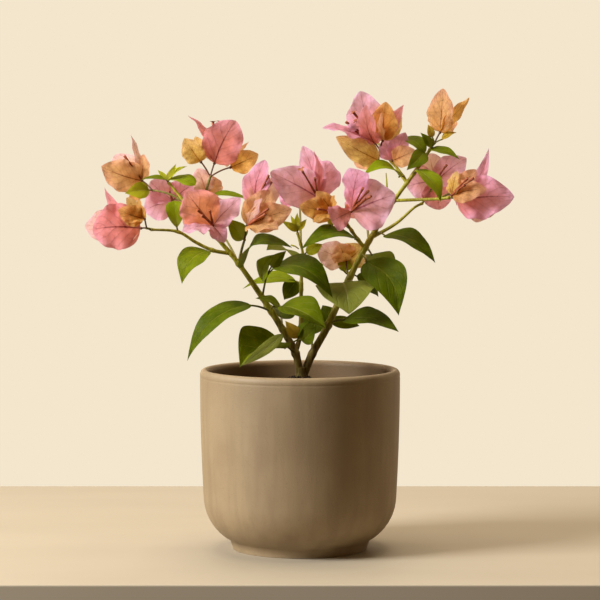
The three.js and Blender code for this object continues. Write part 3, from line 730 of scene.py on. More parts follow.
# %% Limbs
LIMBS = {
    "stem_left": {
        "route": [(0, 0, 131), (-3, -1, 146), (-13, -3, 165), (-28, -6, 189), (-46, -8, 215),
                  (-65, -12, 238), (-86, -8, 261), (-98, -5, 275)],
        "foot": 2.9, "tip": 0.9},
    "stem_right": {
        "route": [(3, 1, 131), (9, 1, 146), (19, 0, 164), (37, 3, 203), (49, 5, 226), (67, 8, 256),
                  (88, 11, 285), (98, 12, 300)],
        "foot": 3.1, "tip": 1.1},
    "stem_middle": {
        "start": ("stem_left", 147),
        "route": [(0, 4, 160), (1, 10, 201), (2, 14, 221), (-2, 12, 237)],
        "foot": 2, "tip": 0.8},
    "bough_left": {
        "start": ("stem_left", 222),
        "route": [(-65, -14, 225), (-77, -18, 231), (-90, -23, 239), (-110, -28, 241)],
        "foot": 1.5, "tip": 0.9},
    "bough_right_low": {
        "start": ("stem_right", 233),
        "route": [(72, 7, 244), (86, 9, 256), (92, 12, 259)],
        "foot": 1.4, "tip": 0.9},
    "bough_right_high": {
        "start": ("stem_right", 261),
        "route": [(90, 4, 262), (104, -8, 263), (111, -12, 264)],
        "foot": 1.3, "tip": 1},
    "bough_top": {
        "start": ("stem_right", 274),
        "route": [(73, 13, 285), (68, 15, 291), (64, 17, 295)],
        "foot": 1.4, "tip": 0.9},
    "bough_inner": {
        "start": ("stem_right", 225),
        "route": [(42, 0, 234), (34, -8, 246)],
        "foot": 1.5, "tip": 1},
}

for limb in LIMBS.values():
    route = [Vector(place) for place in limb["route"]]
    if "start" in limb:
        carrier, height = limb["start"]
        route.insert(0, at_height(LIMBS[carrier]["curve"], height))
    limb["curve"] = smooth_curve(route)
print("limbs:", {name: [round(c) for c in limb["curve"][-1]] for name, limb in LIMBS.items()})

# %% [markdown]
# ## The sprays
# A spray leaves its limb at a height and runs to its hub. From there a stalk goes to each bloom, and
# a bloom is a throat with bracts all round it, each given by its tint, tip, width and face. A leaf has
# a base of its own, and its stalk comes from the spray's stem. Blooms that show their middle also
# have the tips of their tubes, the true flowers. The words below make the table read like that.

# %% Words of the table
SPRAYS = []


def bract(tint, tip, width, face="front", bow=0.08, shape="bract", fold=9, bend=0.0):
    return {"tint": tint, "tip": Vector(tip), "width": width, "face": face, "bow": bow,
            "shape": shape, "fold": fold, "bend": bend}


def leaf(tint, base, tip, width, face, bow=0.12, fold=14, shape="leaf", bend=0.0):
    return {"tint": tint, "base": Vector(base), "tip": Vector(tip), "width": width, "face": face,
            "bow": bow, "shape": shape, "fold": fold, "bend": bend}


def bloom(throat, *bracts, tubes=(), stars=()):
    throat = Vector(throat)
    return {"throat": throat, "bracts": [{**one, "base": throat} for one in bracts],
            "tubes": [Vector(end) for end in tubes], "stars": [Vector(end) for end in stars]}


def spray(name, limb, height, hub, radius, blooms=(), leaves=()):
    SPRAYS.append({"name": name, "limb": limb, "height": height, "hub": Vector(hub), "radius": radius,
                   "blooms": blooms, "leaves": leaves})


def lone_leaf(name, limb, height, radius, tint, base, *looks, **habit):
    """A spray of one leaf, which sits where the spray's stem ends."""
    spray(name, limb, height, base, radius, leaves=[leaf(tint, base, *looks, **habit)])


print("a blade may face:", ", ".join(FACES))

# %% [markdown]
# ### The left side of the crown
# The left stem ends in a shoot of young leaves. Round it stand amber and pink blooms, the lowest
# and furthest on a bough of its own.

# %% The left side of the crown
spray("spray_left_far", "bough_left", 241, (-113, -29, 242), 0.8,
      blooms=[
          bloom((-117, -30, 242), bract("rose", (-153, -26, 241), 35, shape="round"),
                bract("blush", (-160, -10, 243), 30, bow=0.04),
                bract("rose", (-145, -16, 272), 10, "frontLeft", shape="spike", bend=-0.1)),
          bloom((-114, -36, 249), bract("amber", (-133, -41, 256), 16, "frontLeft"),
                bract("gold", (-127, -38, 265), 11), bract("amber", (-118, -38, 264), 9, "left"),
                bract("amber", (-126, -40, 246), 9, "up")),
      ])
lone_leaf("leaf_left_upper", "bough_left", 239, 0.6,
          "bright", (-91, -25, 243), (-93, -26, 262), 14, "front", shape="broad")
spray("spray_left_bloom", "stem_left", 261, (-110, -1, 269), 0.7,
      blooms=[
          bloom((-118, 3, 276), bract("apricot", (-148, -5, 287), 25, "frontLeft"),
                bract("blush", (-127, 12, 311), 8, "right", shape="spike"),
                bract("apricot", (-117, 6, 296), 12, "frontLeft"),
                bract("blush", (-141, 20, 294), 21), tubes=[(-131, -2, 295), (-129, 0, 291)]),
          bloom((-115, -3, 269), bract("amber", (-128, 0, 263), 9)),
      ],
      leaves=[leaf("young", (-113, -4, 269), (-130, -8, 267), 13, "front")])
spray("shoot_left", "stem_left", 275, (-99, -5, 277), 0.7,
      leaves=[
          leaf("young", (-99, -5, 277), (-92, -8, 289), 5, "front"),
          leaf("young", (-98, -5, 277), (-84, -8, 287), 8, "up"),
          leaf("bright", (-97, -5, 277), (-78, -12, 273), 15, "up", shape="broad"),
          leaf("young", (-99, -5, 277), (-106, 0, 284), 4, "front"),
          leaf("mid", (-100, -5, 277), (-118, -10, 277), 7, "up"),
      ])
spray("spray_left_back", "stem_left", 257, (-92, 8, 262), 0.7,
      blooms=[
          bloom((-96, 12, 261), bract("lilac", (-118, 16, 253), 25, shape="kite"),
                bract("lilac", (-113, 22, 275), 20), bract("pink", (-80, 26, 273), 20),
                tubes=[(-98, 6, 269)]),
      ])
spray("spray_left_front", "stem_left", 233, (-62, -24, 239), 0.9,
      blooms=[
          bloom((-64, -32, 244), bract("salmon", (-84, -36, 270), 34, "frontLeft", shape="kite", fold=4),
                bract("lilac", (-44, -24, 264), 20, "frontLeft"), bract("lilac", (-86, -42, 240), 24, "up"),
                bract("pink", (-55, -36, 232), 13),
                tubes=[(-75, -44, 256), (-72, -45, 252), (-66, -43, 256)]),
      ])
spray("spray_left_top", "stem_left", 248, (-67, 2, 279), 0.9,
      blooms=[
          bloom((-64, 3, 289), bract("rose", (-48, 0, 321), 31, shape="round"),
                bract("rose", (-84, 10, 325), 11, "right", shape="spike", bend=0.14),
                bract("blush", (-56, 34, 314), 26, "back"), stars=[(-65, 6, 320), (-60, 8, 320)]),
          bloom((-74, 4, 290), bract("gold", (-86, -1, 308), 17, "frontLeft"),
                bract("gold", (-78, 9, 309), 14)),
          bloom((-52, 3, 286), bract("amber", (-31, 2, 296), 17),
                bract("apricot", (-38, 12, 305), 6, "up", shape="spike")),
          bloom((-70, 8, 266), bract("blush", (-77, 15, 285), 17),
                bract("apricot", (-63, 20, 278), 18, shape="round")),
      ],
      leaves=[leaf("mid", (-67, -2, 264), (-38, -14, 262), 9, "up")])
spray("spray_inner_left", "stem_left", 214, (-41, -20, 233), 0.9,
      blooms=[
          bloom((-39, -32, 244), bract("apricot", (-21, -26, 270), 24),
                bract("blush", (-28, -34, 264), 12, "left", fold=4),
                bract("apricot", (-6, -30, 256), 21), bract("apricot", (-16, -44, 242), 24, "up"),
                tubes=[(-23, -44, 257), (-25, -45, 253)]),
          bloom((-34, -22, 257), bract("pink", (-26, -14, 292), 22, "frontLeft"),
                bract("blush", (-17, -8, 278), 22),
                tubes=[(-23, -24, 281), (-21, -22, 276), (-26, -24, 275)]),
      ],
      leaves=[
          leaf("bright", (-42, -20, 234), (-54, -25, 249), 14, "front"),
          leaf("dark", (-42, -14, 213), (-6, -36, 228), 26, "up", 0.3, shape="heart"),
          leaf("gold", (-43, -14, 218), (-40, -18, 226), 4, "front"),
      ])
print("sprays so far:", len(SPRAYS))

# %% [markdown]
# ### The middle of the crown
# Between the stems the blooms are lower. The thin middle stem ends in a shoot with no bloom.

# %% The middle of the crown
spray("shoot_middle", "stem_middle", 237, (-2, 12, 239), 0.6,
      leaves=[
          leaf("young", (-2, 12, 239), (-14, 8, 246), 6, "front"),
          leaf("young", (-2, 12, 239), (-7, 14, 250), 4, "front"),
          leaf("young", (-2, 12, 240), (-2, 11, 252), 5, "front"),
          leaf("young", (-2, 12, 239), (5, 14, 247), 5, "front"),
      ])
spray("spray_middle", "bough_inner", 239, (24, -8, 250), 0.8,
      blooms=[
          bloom((13, -5, 264), bract("lilac", (-22, -18, 283), 32, "frontLeft"),
                bract("lilac", (2, 4, 302), 19),
                bract("rose", (10, -12, 299), 9, "right", shape="spike"),
                bract("pink", (20, 14, 291), 27, shape="round"), stars=[(1, -27, 285)],
                tubes=[(11, -24, 279)]),
          bloom((24, -12, 253), bract("amber", (-1, -22, 258), 19, "frontLeft"),
                bract("amber", (12, -18, 269), 13), bract("amber", (26, -20, 266), 11, "left"),
                bract("amber", (10, -26, 246), 14, "up"), tubes=[(13, -28, 256)]),
      ],
      leaves=[leaf("young", (22, -8, 250), (24, -12, 243), 6, "front", shape="broad")])
spray("spray_inner", "bough_inner", 246, (36, -15, 250), 0.8,
      blooms=[
          bloom((38, -21, 254), bract("pink", (43, -30, 285), 20, "frontLeft", shape="blunt", fold=4),
                bract("lilac", (70, -30, 267), 39), bract("rose", (23, -28, 247), 19, shape="blunt"),
                tubes=[(46, -44, 272), (52, -42, 266), (50, -43, 270), (48, -42, 264)]),
      ])
print("sprays so far:", len(SPRAYS))

# %% [markdown]
# ### The right side of the crown
# The right stem reaches highest. One bough turns back to the top bloom, another runs forward to the
# bloom furthest right.

# %% The right side of the crown
spray("spray_top", "bough_top", 295, (60, 17, 299), 0.8,
      blooms=[
          bloom((56, 14, 304), bract("lilac", (45, 10, 343), 32),
                bract("pink", (17, 0, 316), 20, "up"),
                bract("rose", (49, -16, 333), 17, "frontLeft"), tubes=[(34, 6, 320), (36, 7, 316)],
                stars=[(40, 4, 327), (42, 5, 321)]),
          bloom((59, 13, 291), bract("gold", (27, 4, 309), 19),
                bract("apricot", (41, 22, 289), 13, shape="round")),
          bloom((62, 9, 306), bract("amber", (64, 5, 335), 22), bract("apricot", (61, -5, 327), 8, "left"),
                bract("rose", (78, 20, 333), 12, shape="spike"), bract("gold", (75, 28, 326), 17)),
          bloom((69, 9, 291), bract("apricot", (86, 2, 299), 17), bract("pink", (63, 17, 307), 16),
                bract("pink", (79, 8, 312), 16)),
      ])
lone_leaf("leaf_top", "bough_top", 279, 0.6, "bright", (74, 2, 279), (47, -15, 281), 20, "up", 0.25)
spray("spray_right_tip", "stem_right", 300, (101, 12, 304), 0.8,
      blooms=[
          bloom((105, 12, 312), bract("apricot", (107, 8, 345), 21, "frontLeft"),
                bract("amber", (127, 12, 338), 11, "right", bend=-0.08),
                bract("apricot", (113, 30, 334), 22, "back")),
      ],
      leaves=[
          leaf("gold", (99, 12, 309), (96, 12, 318), 6, "front"),
          leaf("gold", (107, 11, 307), (117, 10, 312), 9, "up"),
          leaf("mid", (99, 11, 302), (90, 6, 312), 7, "front"),
          leaf("mid", (98, 11, 299), (119, 0, 292), 12, "up", 0.12),
      ])
spray("leaf_right_tip", "stem_right", 292, (93, 6, 297), 0.6,
      leaves=[
          leaf("mid", (93, 6, 297), (74, 18, 305), 15, "up", 0.25),
          leaf("mid", (93, 6, 297), (79, -9, 284), 13, "front"),
      ])
spray("spray_right", "bough_right_high", 264, (113, -13, 264), 0.8,
      blooms=[
          bloom((116, -15, 262), bract("pink", (158, -24, 265), 34),
                bract("pink", (141, 2, 301), 10, shape="spike", bend=0.1),
                bract("blush", (150, -4, 259), 27)),
          bloom((112, -22, 266), bract("apricot", (137, -34, 271), 17),
                bract("apricot", (130, -24, 285), 16), bract("gold", (116, -26, 284), 12, "left"),
                tubes=[(127, -38, 279), (123, -36, 279), (121, -34, 274)]),
      ])
spray("spray_right_low", "bough_right_low", 259, (98, 15, 268), 0.7,
      blooms=[
          bloom((102, 17, 275), bract("lilac", (125, 13, 293), 22), bract("lilac", (81, 26, 271), 27),
                bract("rose", (105, 15, 254), 24, shape="round"), bract("blush", (98, 28, 296), 24),
                tubes=[(110, 8, 288)]),
      ])
lone_leaf("leaf_right_front", "stem_right", 281, 0.7,
          "bright", (88, -4, 284), (104, -18, 261), 21, "right", 0.15)
print("sprays so far:", len(SPRAYS))

# %% [markdown]
# ### The leaves low in the crown
# Below the blooms each leaf has its own stalk. The largest and darkest hang lowest, and a pale one
# is turned to the front.

# %% The leaves low in the crown
spray("spray_inner_back", "stem_right", 203, (35, 12, 209), 0.8,
      blooms=[
          bloom((35, 15, 215), bract("blush", (13, 20, 225), 22), bract("gold", (48, 12, 227), 22),
                bract("apricot", (29, 10, 229), 20), bract("amber", (33, 4, 223), 8)),
      ],
      leaves=[leaf("young", (35, 14, 208), (32, 19, 221), 12, "front")])
lone_leaf("leaf_low_left", "stem_left", 178, 0.7,
          "dark", (-37, -16, 184), (-83, -30, 144), 24, "upLeft", 0.23)
spray("leaf_foot_left", "stem_left", 146, (-18, -24, 157), 0.7,
      leaves=[leaf("mid", (-11, -20, 152), (-44, -50, 141), 48, "up", 0.05, 44, bend=0.16),
              leaf("pale", (-13, -42, 164), (-44, -53, 142), 9, "front", 0.04, 6)])
spray("leaf_left", "bough_left", 225, (-68, -19, 223), 0.6,
      leaves=[leaf("mid", (-68, -19, 224), (-87, -28, 201), 29, "upLeft", 0.26)])
spray("sprig_left", "stem_left", 189, (-25, -12, 205), 0.7,
      leaves=[
          leaf("bright", (-28, -11, 203), (-19, -18, 222), 20, "upLeft"),
          leaf("mid", (-21, -13, 213), (-10, -20, 225), 10, "front"),
          leaf("dark", (-20, -14, 211), (24, -36, 191), 35, "upRight", 0.25),
      ])
spray("sprig_front", "stem_left", 179, (-20, -13, 183), 0.7,
      leaves=[
          leaf("mid", (-13, -13, 183), (19, -34, 168), 33, "up", 0.12, 24),
          leaf("mid", (-15, -10, 182), (-33, -14, 189), 13, "up"),
      ])
spray("sprig_foot", "stem_left", 153, (-1, -6, 158), 0.6,
      leaves=[
          leaf("gold", (-1, -6, 160), (-11, -8, 172), 10, "front"),
          leaf("dark", (-1, -6, 160), (9, -10, 172), 9, "up", 0.2),
          leaf("dark", (2, -7, 157), (12, -14, 168), 13, "front"),
      ])
spray("sprig_right", "stem_right", 200, (39, -6, 201), 0.7,
      leaves=[leaf("pale", (32, -7, 200), (36, -38, 179), 44, "up", 0.12, 8, shape="heart")])
lone_leaf("leaf_right_back", "stem_right", 205, 0.6, "dark", (43, 10, 204), (59, 18, 188), 17, "upRight")
spray("leaf_right", "stem_right", 221, (49, -4, 218), 0.7,
      leaves=[leaf("dark", (50, -4, 215), (73, -24, 177), 30, "front", 0.12, bend=-0.2)])
lone_leaf("leaf_inner_top", "bough_inner", 232, 0.6, "dark", (41, -9, 233), (1, -37, 227), 24, "up", 0.18)
lone_leaf("leaf_right_high", "stem_right", 238, 0.6,
          "dark", (64, 0, 235), (100, -22, 216), 26, "upRight", 0.18)
spray("leaf_low_right", "stem_right", 168, (33, -8, 173), 0.7,
      leaves=[leaf("dark", (33, -8, 172), (73, -26, 165), 26, "up", 0.13)])
spray("sprig_middle", "stem_middle", 198, (-3, 15, 200), 0.6,
      leaves=[
          leaf("bright", (-4, 15, 200), (-43, 20, 194), 17, "up"),
          leaf("dark", (-3, 15, 200), (-12, 17, 186), 14, "front"),
      ])
lone_leaf("sprig_middle_top", "stem_middle", 219, 0.6, "young", (5, 13, 222), (17, 16, 228), 9, "front")
print("sprays so far:", len(SPRAYS))

# %% [markdown]
# ### The back of the crown
# The crown is as full behind as in front, with fewer and larger sprays.

# %% The back of the crown
spray("leaf_low_back", "stem_right", 167, (23, 8, 171), 0.6,
      leaves=[
          leaf("mid", (23, 8, 171), (45, 18, 166), 10, "front"),
          leaf("dark", (23, 8, 171), (17, 14, 182), 13, "front"),
      ])

BACK_LEAVES = [
    ("leaf_back_low", "stem_right", 146, "dark", (9, 14, 160), (16, 50, 172), 26),
    ("leaf_back_left", "stem_left", 165, "dark", (-14, 14, 172), (-28, 56, 176), 28),
    ("leaf_back_middle", "stem_middle", 194, "dark", (2, 24, 205), (14, 68, 204), 30),
    ("leaf_back_high", "stem_middle", 215, "mid", (-5, 26, 217), (-26, 62, 221), 28),
    ("leaf_back_right", "stem_right", 188, "dark", (29, 14, 192), (26, 54, 184), 28),
    ("leaf_back_far", "stem_right", 226, "dark", (54, 16, 220), (70, 50, 196), 28),
]
BACK_BLOOMS = [
    ("spray_back_middle", "stem_middle", 228, (0, 46, 254), (0, 54, 260),
     ("pink", (-15, 66, 277), 28), ("rose", (15, 68, 277), 28), ("pink", (2, 88, 253), 28)),
    ("spray_back_left", "stem_left", 214, (-66, 38, 242), (-70, 44, 247),
     ("salmon", (-83, 58, 258), 26), ("pink", (-59, 62, 260), 26), ("pink", (-73, 76, 238), 28)),
    ("spray_back_far_left", "stem_left", 252, (-100, 38, 254), (-104, 46, 258),
     ("rose", (-118, 58, 264), 24), ("pink", (-95, 60, 272), 25), ("salmon", (-106, 74, 246), 26)),
    ("spray_back_right", "stem_right", 230, (50, 42, 248), (48, 50, 254),
     ("pink", (38, 62, 267), 26), ("rose", (62, 68, 264), 26), ("salmon", (48, 82, 242), 28)),
    ("spray_back_top", "bough_top", 290, (56, 44, 306), (53, 50, 311),
     ("pink", (40, 58, 326), 26), ("apricot", (60, 68, 327), 24), ("amber", (51, 80, 298), 28)),
    ("spray_back_far", "bough_right_high", 263, (122, 22, 266), (126, 28, 268),
     ("rose", (146, 40, 273), 26), ("pink", (136, 52, 255), 26), ("apricot", (118, 48, 278), 24)),
]
BACK_LEAF_STEM, BACK_BLOOM_STEM = 0.7, 0.8

for name, limb, height, *blade in BACK_LEAVES:
    lone_leaf(name, limb, height, BACK_LEAF_STEM, *blade, "upBack")
for name, limb, height, hub, throat, *blades in BACK_BLOOMS:
    spray(name, limb, height, hub, BACK_BLOOM_STEM,
          blooms=[bloom(throat, *[bract(*blade, "back") for blade in blades])])
print("sprays in all:", len(SPRAYS))

# %% [markdown]
# ## Growing the limbs
# The bark of a young stem has fine ridges lengthwise and swells where a stalk leaves it. A bump in the
# material would vanish at the outline, so both are real relief: each corner of the tube moves out by a
# little noise, stretched along the stem, and by a soft hump at each stalk.

# %% Bark relief
RIDGE = 0.16
RIDGES = ((1.0, 1.0), (3.1, 0.5))
RIDGE_TURN, RIDGE_STRETCH = 2.6, 0.16  # ridges change fast round a stem and slowly along it
NODE_SWELL = 0.4
NODE_REACH = 2.0
BARK_STEP = 1.1
BARK_SIDES = 20


def bark_relief(nodes, ridge):
    def relief(place, way):
        turn = Vector((way.x * RIDGE_TURN, way.y * RIDGE_TURN + way.z, place.z * RIDGE_STRETCH))
        swell = ridge * rough(turn, RIDGES)
        for node in nodes:
            swell += NODE_SWELL * hump((place - node).length, NODE_REACH)
        return swell
    return relief


stems = new_mesh()
boughs = new_mesh()
for name, limb in LIMBS.items():
    nodes = [at_height(limb["curve"], one["height"]) for one in SPRAYS if one["limb"] == name]
    nodes += [other["curve"][0] for other in LIMBS.values() if other.get("start", ("",))[0] == name]
    grown = stems if name.startswith("stem") else boughs
    relief = bark_relief(nodes, RIDGE * (1.0 if grown is stems else 0.5))
    add_tube(grown, limb["curve"], taper(limb["foot"], limb["tip"]), BARK_STEP, BARK_SIDES, relief)
print("corners of bark:", len(stems.verts) + len(boughs.verts))

# %% [markdown]
# ### Spurs and the foot
# Dead stalks and stubs stay on the wood for a year or two, so five short ones are added. The foot is
# a short tube of its own that flares to meet the soil, because three stems alone would leave gaps.

# %% Spurs and foot
SPURS = {
    "thorn": [(24.7, 2, 175.6), (26.4, 2, 176.6), (27.7, 2, 178.6)],
    "dead_stalk": [(15.7, 1, 156.8), (18.7, 0, 159.9), (20.2, 0, 163.7)],
    "stub": [(35.2, 3, 206.3), (31.9, 2, 209.4), (29.2, 2, 211.6)],
    "spur": [(-6.8, 14, 227.5), (-3.6, 13, 226.6), (-0.8, 13, 224.5)],
    "old_petiole": [(65.2, 8, 269.8), (64.9, 8, 276.0), (64.4, 8, 281.8)],
}
SPUR = {"foot": 0.7, "tip": 0.4, "sides": 8}
for places in SPURS.values():
    add_tube(boughs, [Vector(place) for place in places], taper(SPUR["foot"], SPUR["tip"]), BARK_STEP,
             SPUR["sides"])

FOOT = {"low": 126.8, "high": 136.5, "flare": 2.9, "waist": 3.7, "middle": 1.0, "step": 0.8,
        "sides": 28, "ridge": 0.5}
foot_line = [Vector((FOOT["middle"], 0, FOOT["low"])), Vector((FOOT["middle"], 0, FOOT["high"]))]
add_tube(stems, foot_line, lambda share: FOOT["waist"] + FOOT["flare"] * (1 - share) ** 3, FOOT["step"],
         FOOT["sides"], bark_relief([], FOOT["ridge"]))
stem_nodes = [name for name in LIMBS if name.startswith("stem")]
bough_nodes = [name for name in LIMBS if not name.startswith("stem")]
make_piece("stems", stems, bark_look, "bark", "foot", *stem_nodes)
make_piece("boughs", boughs, bark_look, "greenwood", *bough_nodes)

# %% [markdown]
# ## Growing the sprays
# Stalks of leaves are green and those of blooms reddish. A bloom gets its bracts, a small knot that
# holds them, and its tubes: slim, swollen near the foot and pinched under the mouth, where some open
# into a star of five lobes. A tube is a bowed stalk with a radius that changes, and a star a ring.

# %% Stalks and knots
STALK_STEP = 1.2
STALK_SIDES = 8


def add_stalk(mesh, root, end, foot, tip):
    curve = twig_curve(root, end)
    add_tube(mesh, curve, taper(foot, tip), STALK_STEP, STALK_SIDES)
    return curve


def add_ball(mesh, place, radius):
    made = bmesh.ops.create_icosphere(mesh, subdivisions=2, radius=radius)
    bmesh.ops.translate(mesh, vec=place, verts=made["verts"])


print("a stalk has", STALK_SIDES, "sides")

# %% True flowers
FLOWER_BOW = Vector((0.0, -2.5, 1.0))
FLOWER_STEPS = 12
FLOWER_SQUARE = 0.9
TUBE_SLIM = 0.62
TUBE_SWELLINGS = [(0.35, 0.3, 0.22), (0.4, 0.97, 0.14)]  # the size, the place and the reach of each
STAR_RADIUS = 2.8
STAR_WAIST = 0.45
STAR_DEPTH = 0.5


def tube_radius(share):
    radius = TUBE_SLIM
    for size, place, reach in TUBE_SWELLINGS:
        radius += size * hump(share - place, reach)
    return radius


def add_flower(mesh, throat, end):
    middle = throat.lerp(end, 0.5) + FLOWER_BOW
    add_tube(mesh, bowed(throat, middle, end, FLOWER_STEPS), tube_radius, FLOWER_SQUARE, STALK_SIDES)


def add_star(mesh, throat, end):
    """Five lobes round the mouth of a tube, as a ring of ten corners, every other one drawn in."""
    lobes = 5
    made = bmesh.ops.create_circle(mesh, cap_ends=True, cap_tris=True, segments=2 * lobes, radius=1.0)
    axis = (end - throat).normalized()
    side = axis.orthogonal().normalized()
    up = axis.cross(side)
    for corner in made["verts"]:
        reach = corner.co.length
        angle = math.atan2(corner.co.y, corner.co.x)
        is_lobe = reach > 0 and round(angle / (math.pi / lobes)) % 2 == 0
        radius = STAR_RADIUS * reach * (1.0 if is_lobe else STAR_WAIST)
        corner.co = (end + axis * (STAR_DEPTH * reach) + side * (math.cos(angle) * radius)
                     + up * (math.sin(angle) * radius))


print("a tube is", round(2 * tube_radius(0.5), 1), "mm thick and its mouth", round(2 * tube_radius(1.0), 1))

# %% [markdown]
# ### One loop over the table
# A loop reads the table and adds every part to the mesh of its kind. All chance comes from one seeded
# source, so the plant grows the same each time.

# %% Leaves, bracts, stalks and flowers
PETIOLE, PEDICEL = 0.55, 0.6
KNOT = 1.15
SPRAY_FOOT = 1.2
HUB_SWELL = 1.25

chance = random.Random(11)
leaves = {tint: new_mesh() for tint in LEAF_TINTS}
bracts = {tint: new_mesh() for tint in BRACT_TINTS}
stalks = {kind: new_mesh() for kind in stalk_looks}

for one in SPRAYS:
    start = at_height(LIMBS[one["limb"]]["curve"], one["height"])
    stem = add_stalk(stalks["green"], start, one["hub"], one["radius"] * SPRAY_FOOT, one["radius"])
    add_ball(stalks["green"], one["hub"], one["radius"] * HUB_SWELL)
    for flower in one["blooms"]:
        add_stalk(stalks["red"], one["hub"], flower["throat"], PEDICEL, PEDICEL)
        add_ball(stalks["red"], flower["throat"], KNOT)
        for blade in flower["bracts"]:
            add_blade(bracts[blade["tint"]], blade, BRACT_HABIT, chance)
        for end in [*flower["tubes"], *flower["stars"]]:
            add_flower(stalks["flower"], flower["throat"], end)
        for end in flower["stars"]:
            add_star(stalks["star"], flower["throat"], end)
    for blade in one["leaves"]:
        root = nearest(stem, blade["base"])
        if (root - blade["base"]).length > PETIOLE:
            add_stalk(stalks["green"], root, blade["base"], PETIOLE, PETIOLE)
        add_blade(leaves[blade["tint"]], blade, LEAF_HABIT, chance)
print("stalks end in", sum(len(one["blooms"]) for one in SPRAYS), "blooms")

# %% Pieces of foliage and blossom
LEAF_WALL = 0.22
BRACT_WALL = 0.12

blooming = [one["name"] for one in SPRAYS if one["blooms"]]
leafy = [one["name"] for one in SPRAYS if not one["blooms"]]
for tint, mesh in leaves.items():
    thicken(mesh, LEAF_WALL)
    make_piece("leaves_" + tint, mesh, leaf_looks[tint], "leaf")
for tint, mesh in bracts.items():
    thicken(mesh, BRACT_WALL)
    make_piece("bracts_" + tint, mesh, bract_looks[tint], "bract")
thicken(stalks["star"], BRACT_WALL)
make_piece("leaf_stalks", stalks["green"], stalk_looks["green"], "leaf", *leafy)
make_piece("flower_stalks", stalks["red"], stalk_looks["red"], "bract", *blooming)
make_piece("flower_tubes", stalks["flower"], stalk_looks["flower"], "bract")
make_piece("flower_stars", stalks["star"], stalk_looks["star"], "bract")

# %% [markdown]
# ## The shape of the pot
# Its wall rises from a round corner and leans out less and less until it stands upright at the lip,
# which is a soft roll with a shallow groove under it. A low foot ring, narrower where it stands, lifts
# it off the table. Pots are turned on a wheel, so one profile is spun once round the axis, which gives
# outside, lip, inside and floor as one closed wall.

# %% Profile of the pot
POT = {"height": 135.3, "rim": 75.0, "wall": 6.5, "lip": 4.2, "foot": 50.6, "foot_top": 52.6,
       "foot_bevel": 0.6, "foot_lean": 0.3, "corner": 37.6, "corner_middle": 34.8,
       "corner_height": 40.0, "corner_tilt": 0.053, "floor": 9.0}
BEVEL_STEPS, CORNER_STEPS, WALL_STEPS, LIP_STEPS = 4, 24, 12, 18
GROOVE_FROM = 3  # mm below the lip's roll
GROOVE = [(2.2, 0.02), (1.6, 0.14), (1.2, 0.16), (0.8, 0.06)]  # mm below the lip's roll, and deep
SHOULDER = POT["height"] - POT["lip"]
REACH = POT["rim"] - POT["wall"]  # of the inside, at the lip


def arc(centre, radius_x, radius_y, start, end, steps):
    angles = [start + (end - start) * step / steps for step in range(steps + 1)]
    return [(centre[0] + radius_x * math.cos(a), centre[1] + radius_y * math.sin(a)) for a in angles]


def wall_line(inset, lowest, top):
    """The wall, set in by a distance, from an angle low on its corner up to a height."""
    radius = POT["corner"] - inset
    tilt = POT["corner_tilt"]
    corner = arc((POT["corner_middle"], POT["corner_height"]), radius, radius, lowest, -tilt, CORNER_STEPS)
    belly = POT["corner_middle"] + POT["corner"] * math.cos(tilt)
    start = POT["corner_height"] - POT["corner"] * math.sin(tilt)
    line = []
    for step in range(1, WALL_STEPS + 1):
        height = start + (top - start) * step / WALL_STEPS
        below = (SHOULDER - height) / (SHOULDER - start)
        line.append((POT["rim"] - (POT["rim"] - belly) * below * below - inset, height))
    return corner + line


def inner_wall(inset, floor, top):
    depth = POT["wall"] + inset
    return wall_line(depth, math.asin((floor - POT["corner_height"]) / (POT["corner"] - depth)), top)


def pot_profile():
    bevel = POT["foot_bevel"]
    lowest = -math.acos((POT["foot_top"] - POT["corner_middle"]) / POT["corner"])
    lip_middle = POT["rim"] - POT["wall"] / 2
    return [
        (0, 0),
        *arc((POT["foot"] - bevel, bevel), bevel, bevel, -math.pi / 2, POT["foot_lean"], BEVEL_STEPS),
        *wall_line(0, lowest, SHOULDER - GROOVE_FROM),
        *[(POT["rim"] - depth, SHOULDER - below) for below, depth in GROOVE],
        *arc((lip_middle, SHOULDER), POT["wall"] / 2, POT["lip"], 0, math.pi, LIP_STEPS),
        *reversed(inner_wall(0, POT["floor"], SHOULDER)),
        (0, POT["floor"]),
    ]


print("the profile has", len(pot_profile()), "corners")

# %% [markdown]
# ## The clay
# The pot is fired clay with a dull finish: a grey brown with soft clouds, darker streaks that the hand
# brushed downwards, fine specks and a few faint pits. Inside, above the soil, the clay is drawn darker
# as painted shade, for the shadow inside the pot. The rest is noise on the object's own place, in layers
# from coarse to fine.

# %% Clay
INNER_SHADE_FROM, INNER_SHADE_TO = 68.2, 71.5  # mm from the axis, where the painted shade on the inner wall ends
INNER_SHADE_ABOVE = (0.095, 0.105)  # metres up, where the painted shade sets in
STREAKS, SPECKS = 0.45, 0.3


